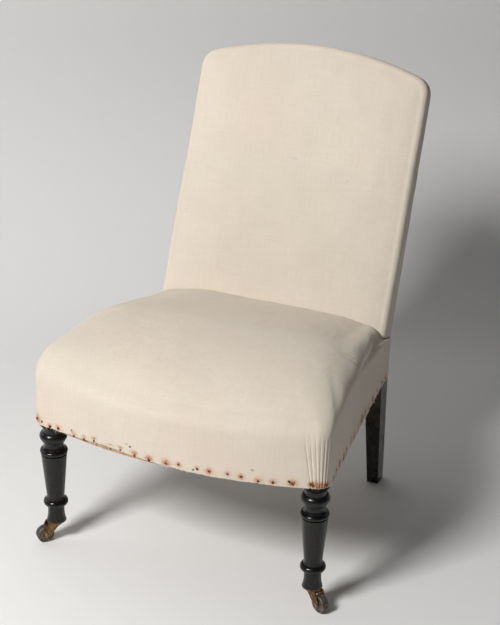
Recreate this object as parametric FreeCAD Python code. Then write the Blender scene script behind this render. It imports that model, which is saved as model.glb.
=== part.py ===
"""Slipper chair: low armless chair with a sprung seat, a raked padded back and caster front legs.

Millimetres, +Z up, front of the chair towards -Y. The origin is on the floor under the middle of
the whole chair. Left is -X.
"""
import FreeCAD, Part
import math
import os

# Layout on the floor; the rear feet are set in and splayed back from the seat's rear corners
FRONT_LEG_Y = -260.2
LEG_INSET = 23.5
FOOT_SPLAY = 18.0
FOOT_INSET = 9.5
FOOT_WIDTH = 21.0
FOOT_DEPTH = 27.0

# Seat frame, in plan from the front leg axes
SEAT_RAIL_BOTTOM = 228.0
SEAT_RAIL_HEIGHT = 62.0
FRONT_RAIL_THICKNESS = 30.0
SIDE_RAIL_THICKNESS = 26.0
BACK_RAIL_THICKNESS = 24.0
BACK_RAIL_SETBACK = 2.0
LEG_BLOCK = 46.0
FRONT_PROJECTION = 53.5
FRONT_BOW_RADIUS = 795.0
FRONT_HALF_WIDTH = 258.5
REAR_FLARE = 3.0
SIDE_HOLLOW = 5.3
SEAT_DEPTH = 388.0
SEAT_TUCK = 12.0
SEAT_CORNER_RADIUS = 25.0

# Back frame, measured up the raked plane of the padded front
RAKE = 22.36
BACK_SET_IN = 7.8
BACK_LIFT = 328.8
BACK_HEIGHT = 466.0
BACK_HALF_WIDTH = 211.5
BACK_ARCH_RADIUS = 590.0
BACK_CORNER_RADIUS = 30.0
BACK_THICKNESS_LOW = 37.0
BACK_THICKNESS_TOP = 22.0
BACK_SIDE_PAD = 2.5
BACK_EDGE_PAD = 6.0
POST_WIDTH = 27.0
POST_SETBACK = 1.0
POST_WAIST_RISE = 20.0
KNEE_Z = 268.0
KNEE_FRONT_RADIUS = 200.0
KNEE_REAR_RADIUS = 160.0
CREST_RAIL_DEPTH = 62.0
LOWER_RAIL_BASE = 6.0
LOWER_RAIL_DEPTH = 40.0
LOWER_RAIL_THICKNESS = 20.0

# Dowels, corner blocks and their screws
DOWEL_RADIUS = 4.5
DOWEL_LENGTH = 40.0
DOWEL_SPREAD = 30.0
DOWEL_IN_POST = 12.0
LOWER_RAIL_DOWEL_SPREAD = 18.0
CORNER_BLOCK_THICKNESS = 24.0
CORNER_BLOCK_HEIGHT = 42.0
CORNER_BLOCK_RISE = 8.0
SCREW_HEAD_RADIUS = 4.5
SCREW_HEAD_HEIGHT = 3.0
SCREW_SHANK_RADIUS = 2.2
SCREW_LENGTH = 36.0
SCREW_SPREAD = 20.0

# Turned front leg: heights above the floor, radii and half heights of its members
FLARE_RADIUS = 16.2
SHAFT_RADIUS = 14.0
SHAFT_Z = 55.7
RING_RADIUS = 21.0
RING_Z = 75.2
RING_HALF_HEIGHT = 6.2
TAPER_LOW_RADIUS = 14.9
TAPER_LOW_Z = 86.7
TAPER_TOP_RADIUS = 22.0
TAPER_TOP_Z = 168.5
COLLAR_RADIUS = 23.4
COLLAR_Z = 174.0
COLLAR_HALF_HEIGHT = 4.2
NECK_RADIUS = 16.6
NECK_Z = 186.4
BEAD_RADIUS = 23.4
BEAD_Z = 202.4
BEAD_HALF_HEIGHT = 7.6
MEMBER_EDGE_RADIUS = 19.6
QUIRK_HEIGHT = 1.8
TOP_COVE_RADIUS = 17.8
TOP_COVE_Z = 214.5
SHOULDER_RADIUS = 22.4
SHOULDER_HEIGHT = 3.0

# Casters
WHEEL_RADIUS = 14.7
WHEEL_WIDTH = 12.0
WHEEL_GROOVE = 0.7
WHEEL_GROOVES = 3
WHEEL_FACE_RECESS = 1.3
WHEEL_HUB_RADIUS = 5.2
WHEEL_RIM = 2.8
WHEEL_CLEARANCE = 1.6
WHEEL_SIDE_GAP = 0.5
AXLE_RADIUS = 2.1
AXLE_FIT = 0.06
AXLE_HEAD_RADIUS = 3.3
AXLE_HEAD_HEIGHT = 0.9
HORN_ARM_THICKNESS = 2.6
HORN_EYE_RADIUS = 4.4
HORN_BRIDGE_THICKNESS = 5.2
PINTLE_RADIUS = 3.4
PINTLE_FIT = 0.06
PINTLE_HEAD_RADIUS = 5.0
PINTLE_HEAD_HEIGHT = 1.8
PINTLE_PLAY = 0.2
SWIVEL_GAP = 0.4
CASTER_PLATE_RADIUS = 16.6
CASTER_PLATE_THICKNESS = 2.4
PLATE_SCREWS = 4
PLATE_SCREW_RADIUS = 1.7
PLATE_SCREW_HEAD_RADIUS = 3.1
PLATE_SCREW_LENGTH = 14.0
PLATE_SCREW_CIRCLE = 11.4
LEFT_TRAIL_ANGLE = 227.4
RIGHT_TRAIL_ANGLE = -27.6

# Upholstery of the seat: upright sides, a rounded shoulder that bulges over them, then the crown
CLOTH = 1.2
CLOTH_GAP = 0.3
SOFT_GAP = 0.5
SHOULDER_FOOT_Z = 304.0
SHOULDER_RISE = 62.0
SHOULDER_IN_SIDE = 20.0
SHOULDER_IN_FRONT = 38.0
SHOULDER_BULGE = 4.0
SHOULDER_CORNER_RADIUS = 40.0
SHOULDER_STEPS = 6
CROWN_RISE = 20.0
CROWN_IN_SIDE = 185.0
CROWN_IN_FRONT = 204.0
CROWN_CORNER_RADIUS = 30.0
CROWN_STEPS = 5
CROWN_PEAK = 150.0
CROWN_FALL_FRONT = 26.0
CROWN_FALL_REAR = 36.0
WADDING = 7.0
HESSIAN = 1.0
HESSIAN_MARGIN = 9.0
HESSIAN_SLOPE = 76.0
WEBBING = 1.6
WEBBING_WIDTH = 50.0
SEAT_STRIPS = 4
SEAT_STRIP_PITCH = 86.0
CROSS_STRIP_START = 60.0
CROSS_STRIP_END = 70.0
SPRING_WIRE_RADIUS = 1.9
SPRING_END_RADIUS = 44.0
SPRING_WAIST_RADIUS = 25.0
SPRING_HEIGHT = 88.0
SPRING_TURNS = 5
SPRING_FRONT_X = 95.0
SPRING_FRONT_START = 100.0
SPRING_REAR_X = 84.0
SPRING_REAR_END = 132.0

# Upholstery of the back: upright sides, a rounded edge and a shallow crown
BACK_EDGE_FOOT = -6.5
BACK_EDGE_RISE = 8.5
BACK_EDGE_IN = 9.0
BACK_EDGE_STEPS = 4
BACK_CROWN_RISE = 13.0
BACK_CROWN_IN = 135.0
BACK_CROWN_CORNER_RADIUS = 70.0
BACK_CROWN_STEPS = 4
BACK_DEPTH = 60.0
BACK_BASE = -2.0
BACK_STRIPS_ACROSS = (95.0, 205.0, 315.0)
BACK_STRIPS_UP = (-95.0, 0.0, 95.0)
BACK_HESSIAN_INSET = 9.0
OUTSIDE_BACK_INSET = 3.0

# Tacks
TACK_HEAD_RADIUS = 3.4
TACK_HEAD_HEIGHT = 1.3
TACK_SHANK_RADIUS = 0.8
TACK_LENGTH = 11.0
TACK_PITCH = 26.0
TACK_RISE = 7.0
BACK_TACK_PITCH = 38.0
BACK_TACK_EDGE = 14.0

# Sizes that follow from the ones above
SEAT_RAIL_TOP = SEAT_RAIL_BOTTOM + SEAT_RAIL_HEIGHT
RAIL_MIDDLE_Z = SEAT_RAIL_BOTTOM + SEAT_RAIL_HEIGHT / 2
LEG_SPACING = 2 * (FRONT_HALF_WIDTH - LEG_INSET)
REAR_HALF_WIDTH = BACK_HALF_WIDTH + REAR_FLARE
FOOT_OUTER_X = REAR_HALF_WIDTH - FOOT_INSET
BLOCK_INNER_X = LEG_SPACING / 2 - LEG_BLOCK / 2
BLOCK_INNER_Y = FRONT_LEG_Y + LEG_BLOCK / 2
FRONT_BOW_CENTRE_Y = FRONT_LEG_Y - FRONT_PROJECTION + FRONT_BOW_RADIUS
SEAT_FRONT_Y = FRONT_LEG_Y - FRONT_PROJECTION
SEAT_REAR_Y = FRONT_LEG_Y + SEAT_DEPTH
SOFT_REAR_Y = SEAT_REAR_Y + SEAT_TUCK
CROWN_PEAK_Y = FRONT_LEG_Y + CROWN_PEAK
FOOT_FRONT_Y = SEAT_REAR_Y + FOOT_SPLAY
FOOT_REAR_Y = FOOT_FRONT_Y + FOOT_DEPTH
BACK_FOOT_Y = SEAT_REAR_Y - BACK_SET_IN
BACK_TAPER = (BACK_THICKNESS_LOW - BACK_THICKNESS_TOP) / BACK_HEIGHT
POST_OUTER_AT_RAIL = REAR_HALF_WIDTH - POST_SETBACK
POST_OUTER_ABOVE = BACK_HALF_WIDTH - BACK_SIDE_PAD
POST_INNER_X = POST_OUTER_ABOVE - POST_WIDTH
POST_REAR_INSET = CLOTH + CLOTH_GAP
POST_TOP_S = BACK_HEIGHT - CREST_RAIL_DEPTH
COVER_OUT = CLOTH_GAP + CLOTH
HESSIAN_N = 2 * WEBBING - BACK_EDGE_PAD
SEAT_HESSIAN_Z = SEAT_RAIL_BOTTOM + SPRING_HEIGHT
SWIVEL_TRAIL = PINTLE_HEAD_RADIUS + WHEEL_CLEARANCE + WHEEL_RADIUS
HORN_HALF_WIDTH = WHEEL_WIDTH / 2 + WHEEL_SIDE_GAP + HORN_ARM_THICKNESS
HORN_BRIDGE_Z = 2 * WHEEL_RADIUS + WHEEL_CLEARANCE
CASTER_PLATE_Z = HORN_BRIDGE_Z + HORN_BRIDGE_THICKNESS + SWIVEL_GAP
LEG_FOOT_Z = CASTER_PLATE_Z + CASTER_PLATE_THICKNESS
RAKE_SIN = math.sin(math.radians(RAKE))
RAKE_COS = math.cos(math.radians(RAKE))
FAR = 1500.0


def point(x, y, z):
    return FreeCAD.Vector(x, y, z)


X = point(1, 0, 0)
Y = point(0, 1, 0)
Z = point(0, 0, 1)


def line(a, b):
    return Part.LineSegment(a, b).toShape()


def arc(a, middle, b):
    return Part.Arc(a, middle, b).toShape()


def prism(wire, direction):
    return Part.Face(wire).extrude(direction)


def box(low, high):
    size = high - low
    return Part.makeBox(size.x, size.y, size.z, low)


def rod(start, direction, radius, length):
    return Part.makeCylinder(radius, length, start, direction)


def mirrored(shape):
    return shape.mirror(point(0, 0, 0), X)


def group(shapes):
    solids = []
    for shape in shapes:
        solids += shape.Solids
    return Part.makeCompound(solids)


def both_sides(shapes):
    return list(shapes) + [mirrored(shape) for shape in shapes]


def write(name, shape):
    shape.exportStep("parts/" + name + ".step")
    print(name, len(shape.Solids), round(shape.Volume, 1), shape.isValid())


def closed_path(corners):
    """Wire through corners, each given with the radius that rounds it, or 0."""
    starts = []
    ends = []
    rounds = []
    count = len(corners)
    for i, (corner, radius) in enumerate(corners):
        if not radius:
            starts.append(corner)
            ends.append(corner)
            rounds.append(None)
            continue
        before = (corners[i - 1][0] - corner).normalize()
        after = (corners[(i + 1) % count][0] - corner).normalize()
        half = before.getAngle(after) / 2
        reach = radius / math.tan(half)
        starts.append(corner + before * reach)
        ends.append(corner + after * reach)
        middle = corner + (before + after).normalize() * (radius / math.sin(half) - radius)
        rounds.append(arc(starts[i], middle, ends[i]))
    edges = []
    for i in range(count):
        if rounds[i]:
            edges.append(rounds[i])
        edges.append(line(ends[i], starts[(i + 1) % count]))
    return Part.Wire(edges)


def turned(steps, start_z):
    """Solid of revolution about Z. A step is a radius and a height, or an arc's middle and its end."""
    here = point(0, 0, start_z)
    edges = []
    for step in steps:
        there = point(step[-2], 0, step[-1])
        if len(step) == 4:
            edges.append(arc(here, point(step[0], 0, step[1]), there))
        else:
            edges.append(line(here, there))
        here = there
    edges.append(line(here, point(0, 0, start_z)))
    return Part.Face(Part.Wire(edges)).revolve(point(0, 0, 0), Z, 360)


# Plan outline of the seat frame


def side_circle():
    """Centre and radius of the hollow right side, through its front, middle and rear points."""
    front = point(FRONT_HALF_WIDTH, FRONT_LEG_Y, 0)
    rear = point(REAR_HALF_WIDTH, SEAT_REAR_Y, 0)
    chord = rear - front
    half = chord.Length / 2
    radius = (half * half + SIDE_HOLLOW * SIDE_HOLLOW) / (2 * SIDE_HOLLOW)
    outward = point(chord.y, -chord.x, 0).normalize()
    return (front + rear) * 0.5 + outward * (radius - SIDE_HOLLOW), radius


SIDE_CENTRE, SIDE_RADIUS = side_circle()


def side_x(y, inset):
    """Half-width of the seat frame at y, drawn in by inset."""
    return SIDE_CENTRE.x - math.sqrt((SIDE_RADIUS + inset) ** 2 - (y - SIDE_CENTRE.y) ** 2)


def front_y(x, inset):
    """Front line of the seat frame at x, drawn in by inset."""
    return FRONT_BOW_CENTRE_Y - math.sqrt((FRONT_BOW_RADIUS - inset) ** 2 - x ** 2)


def corner_circle(front_inset, side_inset, radius):
    """Centre of the right corner's arc, and where it meets the front and the side."""
    front_centre = point(0, FRONT_BOW_CENTRE_Y, 0)
    front_reach = FRONT_BOW_RADIUS - front_inset - radius
    side_reach = SIDE_RADIUS + side_inset + radius
    between = SIDE_CENTRE - front_centre
    along = (front_reach ** 2 - side_reach ** 2 + between.Length ** 2) / (2 * between.Length)
    across = math.sqrt(front_reach ** 2 - along ** 2)
    unit = point(between.x, between.y, 0).normalize()
    centre = front_centre + unit * along + point(unit.y, -unit.x, 0) * across
    on_front = centre + (centre - front_centre).normalize() * radius
    on_side = centre + (SIDE_CENTRE - centre).normalize() * radius
    return centre, on_front, on_side


def seat_wire(front_inset, side_inset, radius, rear_y, height):
    """Closed outline of the seat; height gives Z at a place Y, so a section can follow the crown."""
    centre, on_front, on_side = corner_circle(front_inset, side_inset, radius)
    on_corner = centre + ((on_front + on_side) * 0.5 - centre).normalize() * radius
    middle_y = (on_side.y + rear_y) / 2
    on_middle = point(side_x(middle_y, side_inset), middle_y, 0)
    rear = point(side_x(rear_y, side_inset), rear_y, 0)
    front = point(0, front_y(0, front_inset), 0)

    def at(p, side):
        return point(p.x * side, p.y, height(p.y))

    edges = [arc(at(on_front, -1), at(front, 1), at(on_front, 1))]
    edges.append(arc(at(on_front, 1), at(on_corner, 1), at(on_side, 1)))
    edges.append(arc(at(on_side, 1), at(on_middle, 1), at(rear, 1)))
    edges.append(line(at(rear, 1), at(rear, -1)))
    edges.append(arc(at(rear, -1), at(on_middle, -1), at(on_side, -1)))
    edges.append(arc(at(on_side, -1), at(on_corner, -1), at(on_front, -1)))
    return Part.Wire(edges)


def level(z):
    return lambda y: z


# Raked plane of the back: x across, s up the rake, n out of the padded front


def back_point(x, s, n):
    y = BACK_FOOT_Y + s * RAKE_SIN - n * RAKE_COS
    z = BACK_LIFT + s * RAKE_COS + n * RAKE_SIN
    return point(x, y, z)


def on_back(shape):
    """Lay a shape that was made with s as Y and n as Z into the raked plane."""
    turn = FreeCAD.Rotation(X, 90 - RAKE)
    return shape.transformed(FreeCAD.Placement(point(0, BACK_FOOT_Y, BACK_LIFT), turn).toMatrix())


def rear_n(s, inset):
    """Depth of the back's rear face at s, drawn in by inset."""
    return BACK_TAPER * s - BACK_THICKNESS_LOW + inset


def back_wire(inset, radius, base, n):
    """Outline of the back in its own plane, with the arch at the top, drawn in by inset."""
    half = BACK_HALF_WIDTH - inset
    arch = BACK_ARCH_RADIUS - inset
    arch_centre = BACK_HEIGHT - BACK_ARCH_RADIUS
    corner = point(half - radius, arch_centre + math.sqrt((arch - radius) ** 2 - (half - radius) ** 2), 0)
    out = (corner - point(0, arch_centre, 0)).normalize()
    on_arch = corner + out * radius
    on_corner = corner + (out + X).normalize() * radius
    side_top = corner + X * radius
    foot = point(half, base, 0)

    def at(p, side):
        return point(p.x * side, p.y, n)

    edges = [line(at(foot, 1), at(side_top, 1))]
    edges.append(arc(at(side_top, 1), at(on_corner, 1), at(on_arch, 1)))
    edges.append(arc(at(on_arch, 1), point(0, arch_centre + arch, n), at(on_arch, -1)))
    edges.append(arc(at(on_arch, -1), at(on_corner, -1), at(side_top, -1)))
    edges.append(line(at(side_top, -1), at(foot, -1)))
    edges.append(line(at(foot, -1), at(foot, 1)))
    return Part.Wire(edges)


def rear_waste(inset):
    """Everything behind the back's rear face, as a block to cut away."""
    low = point(-FAR, -FAR, rear_n(-FAR, inset))
    high = point(-FAR, FAR, rear_n(FAR, inset))
    corners = [low, high, high - Z * FAR, low - Z * FAR]
    return on_back(prism(closed_path([(corner, 0) for corner in corners]), X * 2 * FAR))


def back_slab(low, high):
    """Box given by its x, s and n, laid into the raked plane."""
    return on_back(box(point(*low), point(*high)))


# Frame


def knee(s_line, n_line):
    """Point at knee height on the raked line through two places in the back's side view."""
    low = back_point(0, s_line[0], n_line[0])
    high = back_point(0, s_line[1], n_line[1])
    return low + (high - low) * ((KNEE_Z - low.z) / (high.z - low.z))


def post_profile(front_grow, rear_inset, top_s):
    """Side view of a back post with its rear leg: raked above the knee, splayed back below it."""
    front = front_grow - BACK_EDGE_PAD
    front_knee = knee((0, top_s), (front, front))
    rear_knee = knee((0, top_s), (rear_n(0, rear_inset), rear_n(top_s, rear_inset)))
    corners = [(point(0, FOOT_FRONT_Y - front_grow, 0), 0), (front_knee, KNEE_FRONT_RADIUS)]
    corners += [(back_point(0, top_s, front), 0), (back_point(0, top_s, rear_n(top_s, rear_inset)), 0)]
    corners += [(rear_knee, KNEE_REAR_RADIUS), (point(0, FOOT_REAR_Y, 0), 0)]
    return closed_path(corners)


def back_post(grow):
    """Right post with its rear leg, sawn to shape in side view and again in front view."""
    side = prism(post_profile(grow, POST_REAR_INSET - grow, POST_TOP_S + grow), X * FAR)
    top = back_point(0, POST_TOP_S, 0).z + FAR / 4
    waist_z = SEAT_RAIL_TOP + POST_WAIST_RISE
    outer = [(FOOT_OUTER_X, 0), (POST_OUTER_AT_RAIL, SEAT_RAIL_BOTTOM), (POST_OUTER_AT_RAIL, SEAT_RAIL_TOP)]
    outer += [(POST_OUTER_ABOVE, waist_z), (POST_OUTER_ABOVE, top)]
    inner = [(POST_INNER_X, top), (POST_INNER_X, SEAT_RAIL_BOTTOM), (FOOT_OUTER_X - FOOT_WIDTH, 0)]
    corners = [(point(x + grow, -FAR / 2, z), 0) for x, z in outer]
    corners += [(point(x - grow, -FAR / 2, z), 0) for x, z in inner]
    return side.common(prism(closed_path(corners), Y * FAR))


def seat_prism(front_inset, side_inset, radius, rear_y, low, high):
    return prism(seat_wire(front_inset, side_inset, radius, rear_y, level(low)), Z * (high - low))


def leg_block():
    """Square top of the right front leg, its outer faces following the seat's outline."""
    low = point(BLOCK_INNER_X, BLOCK_INNER_Y - 2 * LEG_BLOCK, SEAT_RAIL_BOTTOM)
    high = point(BLOCK_INNER_X + 2 * LEG_BLOCK, BLOCK_INNER_Y, SEAT_RAIL_TOP)
    outline = seat_prism(0, 0, SEAT_CORNER_RADIUS, SEAT_REAR_Y, SEAT_RAIL_BOTTOM, SEAT_RAIL_TOP)
    return box(low, high).common(outline)


def leg_turning():
    """The turned members in order from the foot: flare, ring, taper, collar, neck, bead and shoulder."""
    small = SHAFT_RADIUS + QUIRK_HEIGHT
    edge = MEMBER_EDGE_RADIUS
    ring_low = RING_Z - RING_HALF_HEIGHT
    ring_high = RING_Z + RING_HALF_HEIGHT
    collar_low = COLLAR_Z - COLLAR_HALF_HEIGHT
    collar_high = COLLAR_Z + COLLAR_HALF_HEIGHT
    bead_low = BEAD_Z - BEAD_HALF_HEIGHT
    bead_high = BEAD_Z + BEAD_HALF_HEIGHT
    flare_high = LEG_FOOT_Z + QUIRK_HEIGHT
    shoulder_z = SEAT_RAIL_BOTTOM - SHOULDER_HEIGHT
    steps = [(FLARE_RADIUS, LEG_FOOT_Z), (FLARE_RADIUS, flare_high)]
    steps += [(SHAFT_RADIUS + 0.6, (flare_high + SHAFT_Z) / 2, SHAFT_RADIUS, SHAFT_Z)]
    steps += [(SHAFT_RADIUS, ring_low - QUIRK_HEIGHT), (small, ring_low - QUIRK_HEIGHT), (small, ring_low)]
    steps += [(RING_RADIUS, RING_Z, small, ring_high), (small, ring_high + QUIRK_HEIGHT)]
    steps += [(TAPER_LOW_RADIUS, TAPER_LOW_Z), (TAPER_TOP_RADIUS, TAPER_TOP_Z), (edge, collar_low)]
    steps += [(COLLAR_RADIUS, COLLAR_Z, edge, collar_high)]
    steps += [(edge - 1, collar_high), (edge - 1, collar_high + QUIRK_HEIGHT)]
    steps += [(NECK_RADIUS, NECK_Z, edge - 1, bead_low - QUIRK_HEIGHT)]
    steps += [(edge, bead_low - QUIRK_HEIGHT), (edge, bead_low)]
    steps += [(BEAD_RADIUS, BEAD_Z, edge, bead_high)]
    steps += [(TOP_COVE_RADIUS, bead_high), (TOP_COVE_RADIUS, TOP_COVE_Z)]
    cove_radius = TOP_COVE_RADIUS + (SHOULDER_RADIUS - TOP_COVE_RADIUS) * 0.3
    steps += [(cove_radius, (TOP_COVE_Z + shoulder_z) / 2 + 1.2, SHOULDER_RADIUS, shoulder_z)]
    steps += [(NECK_RADIUS, SEAT_RAIL_BOTTOM), (NECK_RADIUS, SEAT_RAIL_BOTTOM + 1)]
    steps += [(0, SEAT_RAIL_BOTTOM + 1)]
    return steps


def front_leg():
    leg = turned(leg_turning(), LEG_FOOT_Z)
    leg.translate(point(LEG_SPACING / 2, FRONT_LEG_Y, 0))
    return leg.fuse(leg_block()).removeSplitter()


def front_rail():
    """Bowed rail between the leg blocks."""
    foot = point(0, FRONT_BOW_CENTRE_Y, SEAT_RAIL_BOTTOM)
    outer = rod(foot, Z, FRONT_BOW_RADIUS, SEAT_RAIL_HEIGHT)
    inner = rod(foot, Z, FRONT_BOW_RADIUS - FRONT_RAIL_THICKNESS, SEAT_RAIL_HEIGHT)
    low = point(-BLOCK_INNER_X, SEAT_FRONT_Y - LEG_BLOCK, SEAT_RAIL_BOTTOM)
    high = point(BLOCK_INNER_X, FRONT_LEG_Y + 2 * LEG_BLOCK, SEAT_RAIL_TOP)
    return box(low, high).common(outer).cut(inner)


def side_rail():
    """Right side rail, hollow in plan, from the leg block to the front face of the post."""
    foot = point(SIDE_CENTRE.x, SIDE_CENTRE.y, SEAT_RAIL_BOTTOM)
    outside = rod(foot, Z, SIDE_RADIUS, SEAT_RAIL_HEIGHT)
    inside = rod(foot, Z, SIDE_RADIUS + SIDE_RAIL_THICKNESS, SEAT_RAIL_HEIGHT)
    low = point(POST_INNER_X - POST_WIDTH, BLOCK_INNER_Y, SEAT_RAIL_BOTTOM)
    high = point(FRONT_HALF_WIDTH + POST_WIDTH, BACK_FOOT_Y, SEAT_RAIL_TOP)
    behind = prism(post_profile(0, POST_REAR_INSET, POST_TOP_S), X * FAR)
    rail = box(low, high).common(inside).cut(outside).cut(behind)
    return max(rail.Solids, key=lambda solid: solid.Volume)


REAR_KNEE_Y = knee((0, POST_TOP_S), (rear_n(0, POST_REAR_INSET), rear_n(POST_TOP_S, POST_REAR_INSET))).y
BACK_RAIL_REAR_Y = REAR_KNEE_Y + BACK_RAIL_SETBACK
BACK_RAIL_FRONT_Y = BACK_RAIL_REAR_Y - BACK_RAIL_THICKNESS
LOWER_RAIL_N = -BACK_EDGE_PAD - LOWER_RAIL_THICKNESS


def back_rail():
    low = point(-POST_INNER_X, BACK_RAIL_FRONT_Y, SEAT_RAIL_BOTTOM)
    high = point(POST_INNER_X, BACK_RAIL_REAR_Y, SEAT_RAIL_TOP)
    return box(low, high)


def lower_back_rail():
    low = (-POST_INNER_X, LOWER_RAIL_BASE, LOWER_RAIL_N)
    high = (POST_INNER_X, LOWER_RAIL_BASE + LOWER_RAIL_DEPTH, -BACK_EDGE_PAD)
    return back_slab(low, high)


def crest_rail():
    """Arched rail across the tops of both posts."""
    radius = BACK_CORNER_RADIUS - BACK_SIDE_PAD
    outline = back_wire(BACK_SIDE_PAD, radius, POST_TOP_S, -BACK_EDGE_PAD)
    slab = prism(outline, -Z * BACK_THICKNESS_LOW)
    return on_back(slab).cut(rear_waste(POST_REAR_INSET))


def dowel(middle, direction, shift):
    """Dowel across a joint at middle; shift moves it along its own direction."""
    return rod(middle + direction * (shift - DOWEL_LENGTH / 2), direction, DOWEL_RADIUS, DOWEL_LENGTH)


def right_dowels():
    """Dowels of the right half: two in each joint of the seat frame and the back."""
    up = point(0, RAKE_SIN, RAKE_COS)
    into_post = DOWEL_IN_POST - DOWEL_LENGTH / 2
    front_rail_y = front_y(BLOCK_INNER_X, FRONT_RAIL_THICKNESS / 2)
    side_front = point(side_x(BLOCK_INNER_Y, SIDE_RAIL_THICKNESS / 2), BLOCK_INNER_Y, 0)
    post_front = knee((0, POST_TOP_S), (-BACK_EDGE_PAD, -BACK_EDGE_PAD)) + Y * BACK_EDGE_PAD
    side_rear = point(side_x(post_front.y, SIDE_RAIL_THICKNESS / 2), post_front.y, 0)
    back_end = point(POST_INNER_X, (BACK_RAIL_FRONT_Y + BACK_RAIL_REAR_Y) / 2, 0)
    dowels = []
    for side in (-1, 1):
        height = Z * (RAIL_MIDDLE_Z + side * DOWEL_SPREAD / 2)
        dowels.append(dowel(point(BLOCK_INNER_X, front_rail_y, 0) + height, X, 0))
        dowels.append(dowel(side_front + height, Y, 0))
        dowels.append(dowel(side_rear + height, Y, into_post))
        dowels.append(dowel(back_end + height, X, into_post))
        s = LOWER_RAIL_BASE + LOWER_RAIL_DEPTH / 2 + side * LOWER_RAIL_DOWEL_SPREAD / 2
        lower_end = back_point(POST_INNER_X, s, LOWER_RAIL_N / 2 - BACK_EDGE_PAD / 2)
        dowels.append(dowel(lower_end, X, into_post))
    post_middle_n = (rear_n(POST_TOP_S, POST_REAR_INSET) - BACK_EDGE_PAD) / 2
    top = back_point(POST_OUTER_ABOVE - POST_WIDTH / 2, POST_TOP_S, post_middle_n)
    dowels.append(dowel(top, up, 0))
    return dowels


def corner_block(corner, along, inward, others):
    """Glued block across an inside corner of the seat frame, and the two screws through it."""
    low_z = SEAT_RAIL_BOTTOM + CORNER_BLOCK_RISE
    bar = Part.makeBox(LEG_BLOCK * 4, CORNER_BLOCK_THICKNESS, CORNER_BLOCK_HEIGHT)
    bar.translate(point(-LEG_BLOCK * 2, 0, 0))
    turn = FreeCAD.Rotation(along, inward, Z, "XYZ")
    bar = bar.transformed(FreeCAD.Placement(corner + Z * low_z, turn).toMatrix())
    inside = seat_prism(FRONT_RAIL_THICKNESS, SIDE_RAIL_THICKNESS, 1.0, BACK_RAIL_FRONT_Y,
                        SEAT_RAIL_BOTTOM, SEAT_RAIL_TOP)
    block = bar.common(inside).cut(others)
    screws = []
    for side in (-1, 1):
        height = Z * (low_z + CORNER_BLOCK_HEIGHT / 2 + side * SCREW_SPREAD / 2)
        head = corner + inward * CORNER_BLOCK_THICKNESS + height
        shank = rod(head, -inward, SCREW_SHANK_RADIUS, SCREW_LENGTH)
        cap = Part.makeCone(SCREW_HEAD_RADIUS, SCREW_SHANK_RADIUS, SCREW_HEAD_HEIGHT, head, -inward)
        screws.append(shank.fuse(cap).removeSplitter())
    return max(block.Solids, key=lambda solid: solid.Volume), screws


# Upholstery of the seat


def crown_height(z, share, planar):
    """Height along Y of a section: it falls from the crown to the front and to the back."""
    front_run = CROWN_PEAK_Y - SEAT_FRONT_Y
    rear_run = SEAT_REAR_Y - CROWN_PEAK_Y

    def height(y):
        ahead = CROWN_PEAK_Y - y
        if ahead > 0 and not planar:
            return z - share * CROWN_FALL_FRONT * (ahead / front_run) ** 2
        return z + share * CROWN_FALL_REAR * ahead / rear_run

    return height


def seat_stations():
    """Sections up the seat: how far each is drawn in at the front and the side, its corner radius,
    its height on the crown line, and its share of the crown's fall and of a growing skin."""
    stations = []
    for i in range(SHOULDER_STEPS + 1):
        turn = math.pi / 2 * i / SHOULDER_STEPS
        inward = 1 - math.cos(turn)
        side = SHOULDER_IN_SIDE * inward - SHOULDER_BULGE * math.sin(2 * turn)
        radius = SEAT_CORNER_RADIUS + (SHOULDER_CORNER_RADIUS - SEAT_CORNER_RADIUS) * inward
        z = SHOULDER_FOOT_Z + SHOULDER_RISE * math.sin(turn)
        stations.append((SHOULDER_IN_FRONT * inward, side, radius, z, math.sin(turn)))
    for i in range(1, CROWN_STEPS + 1):
        way = i / CROWN_STEPS
        front = SHOULDER_IN_FRONT + (CROWN_IN_FRONT - SHOULDER_IN_FRONT) * way
        side = SHOULDER_IN_SIDE + (CROWN_IN_SIDE - SHOULDER_IN_SIDE) * way
        radius = SHOULDER_CORNER_RADIUS + (CROWN_CORNER_RADIUS - SHOULDER_CORNER_RADIUS) * way
        z = SHOULDER_FOOT_Z + SHOULDER_RISE + CROWN_RISE * (1 - (1 - way) ** 3)
        stations.append((front, side, radius, z, 1.0))
    return stations


def seat_form(grow, foot_z, rear_y):
    """Domed solid of the seat, grown by a thickness, with its foot at foot_z."""
    base_radius = SEAT_CORNER_RADIUS + grow
    wires = [seat_wire(-grow, -grow, base_radius, rear_y, level(foot_z))]
    stations = seat_stations()
    for i, (front, side, radius, z, share) in enumerate(stations):
        top = i == len(stations) - 1
        height = crown_height(z + grow * share, share, top)
        wires.append(seat_wire(front - grow, side - grow, radius + grow * (not top), rear_y, height))
    return Part.makeLoft(wires, True, True)


def hessian_form(thickness):
    """Tray over the springs, resting on the rails."""
    rear = BACK_RAIL_REAR_Y - thickness
    low = HESSIAN_MARGIN + thickness
    high = low + HESSIAN_SLOPE
    top_z = SEAT_HESSIAN_Z + HESSIAN - thickness
    base = seat_wire(low, low, SEAT_CORNER_RADIUS, rear, level(SEAT_RAIL_TOP))
    top = seat_wire(high, high, SEAT_CORNER_RADIUS, rear - HESSIAN_SLOPE, level(top_z))
    return Part.makeLoft([base, top], True, True)


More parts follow.
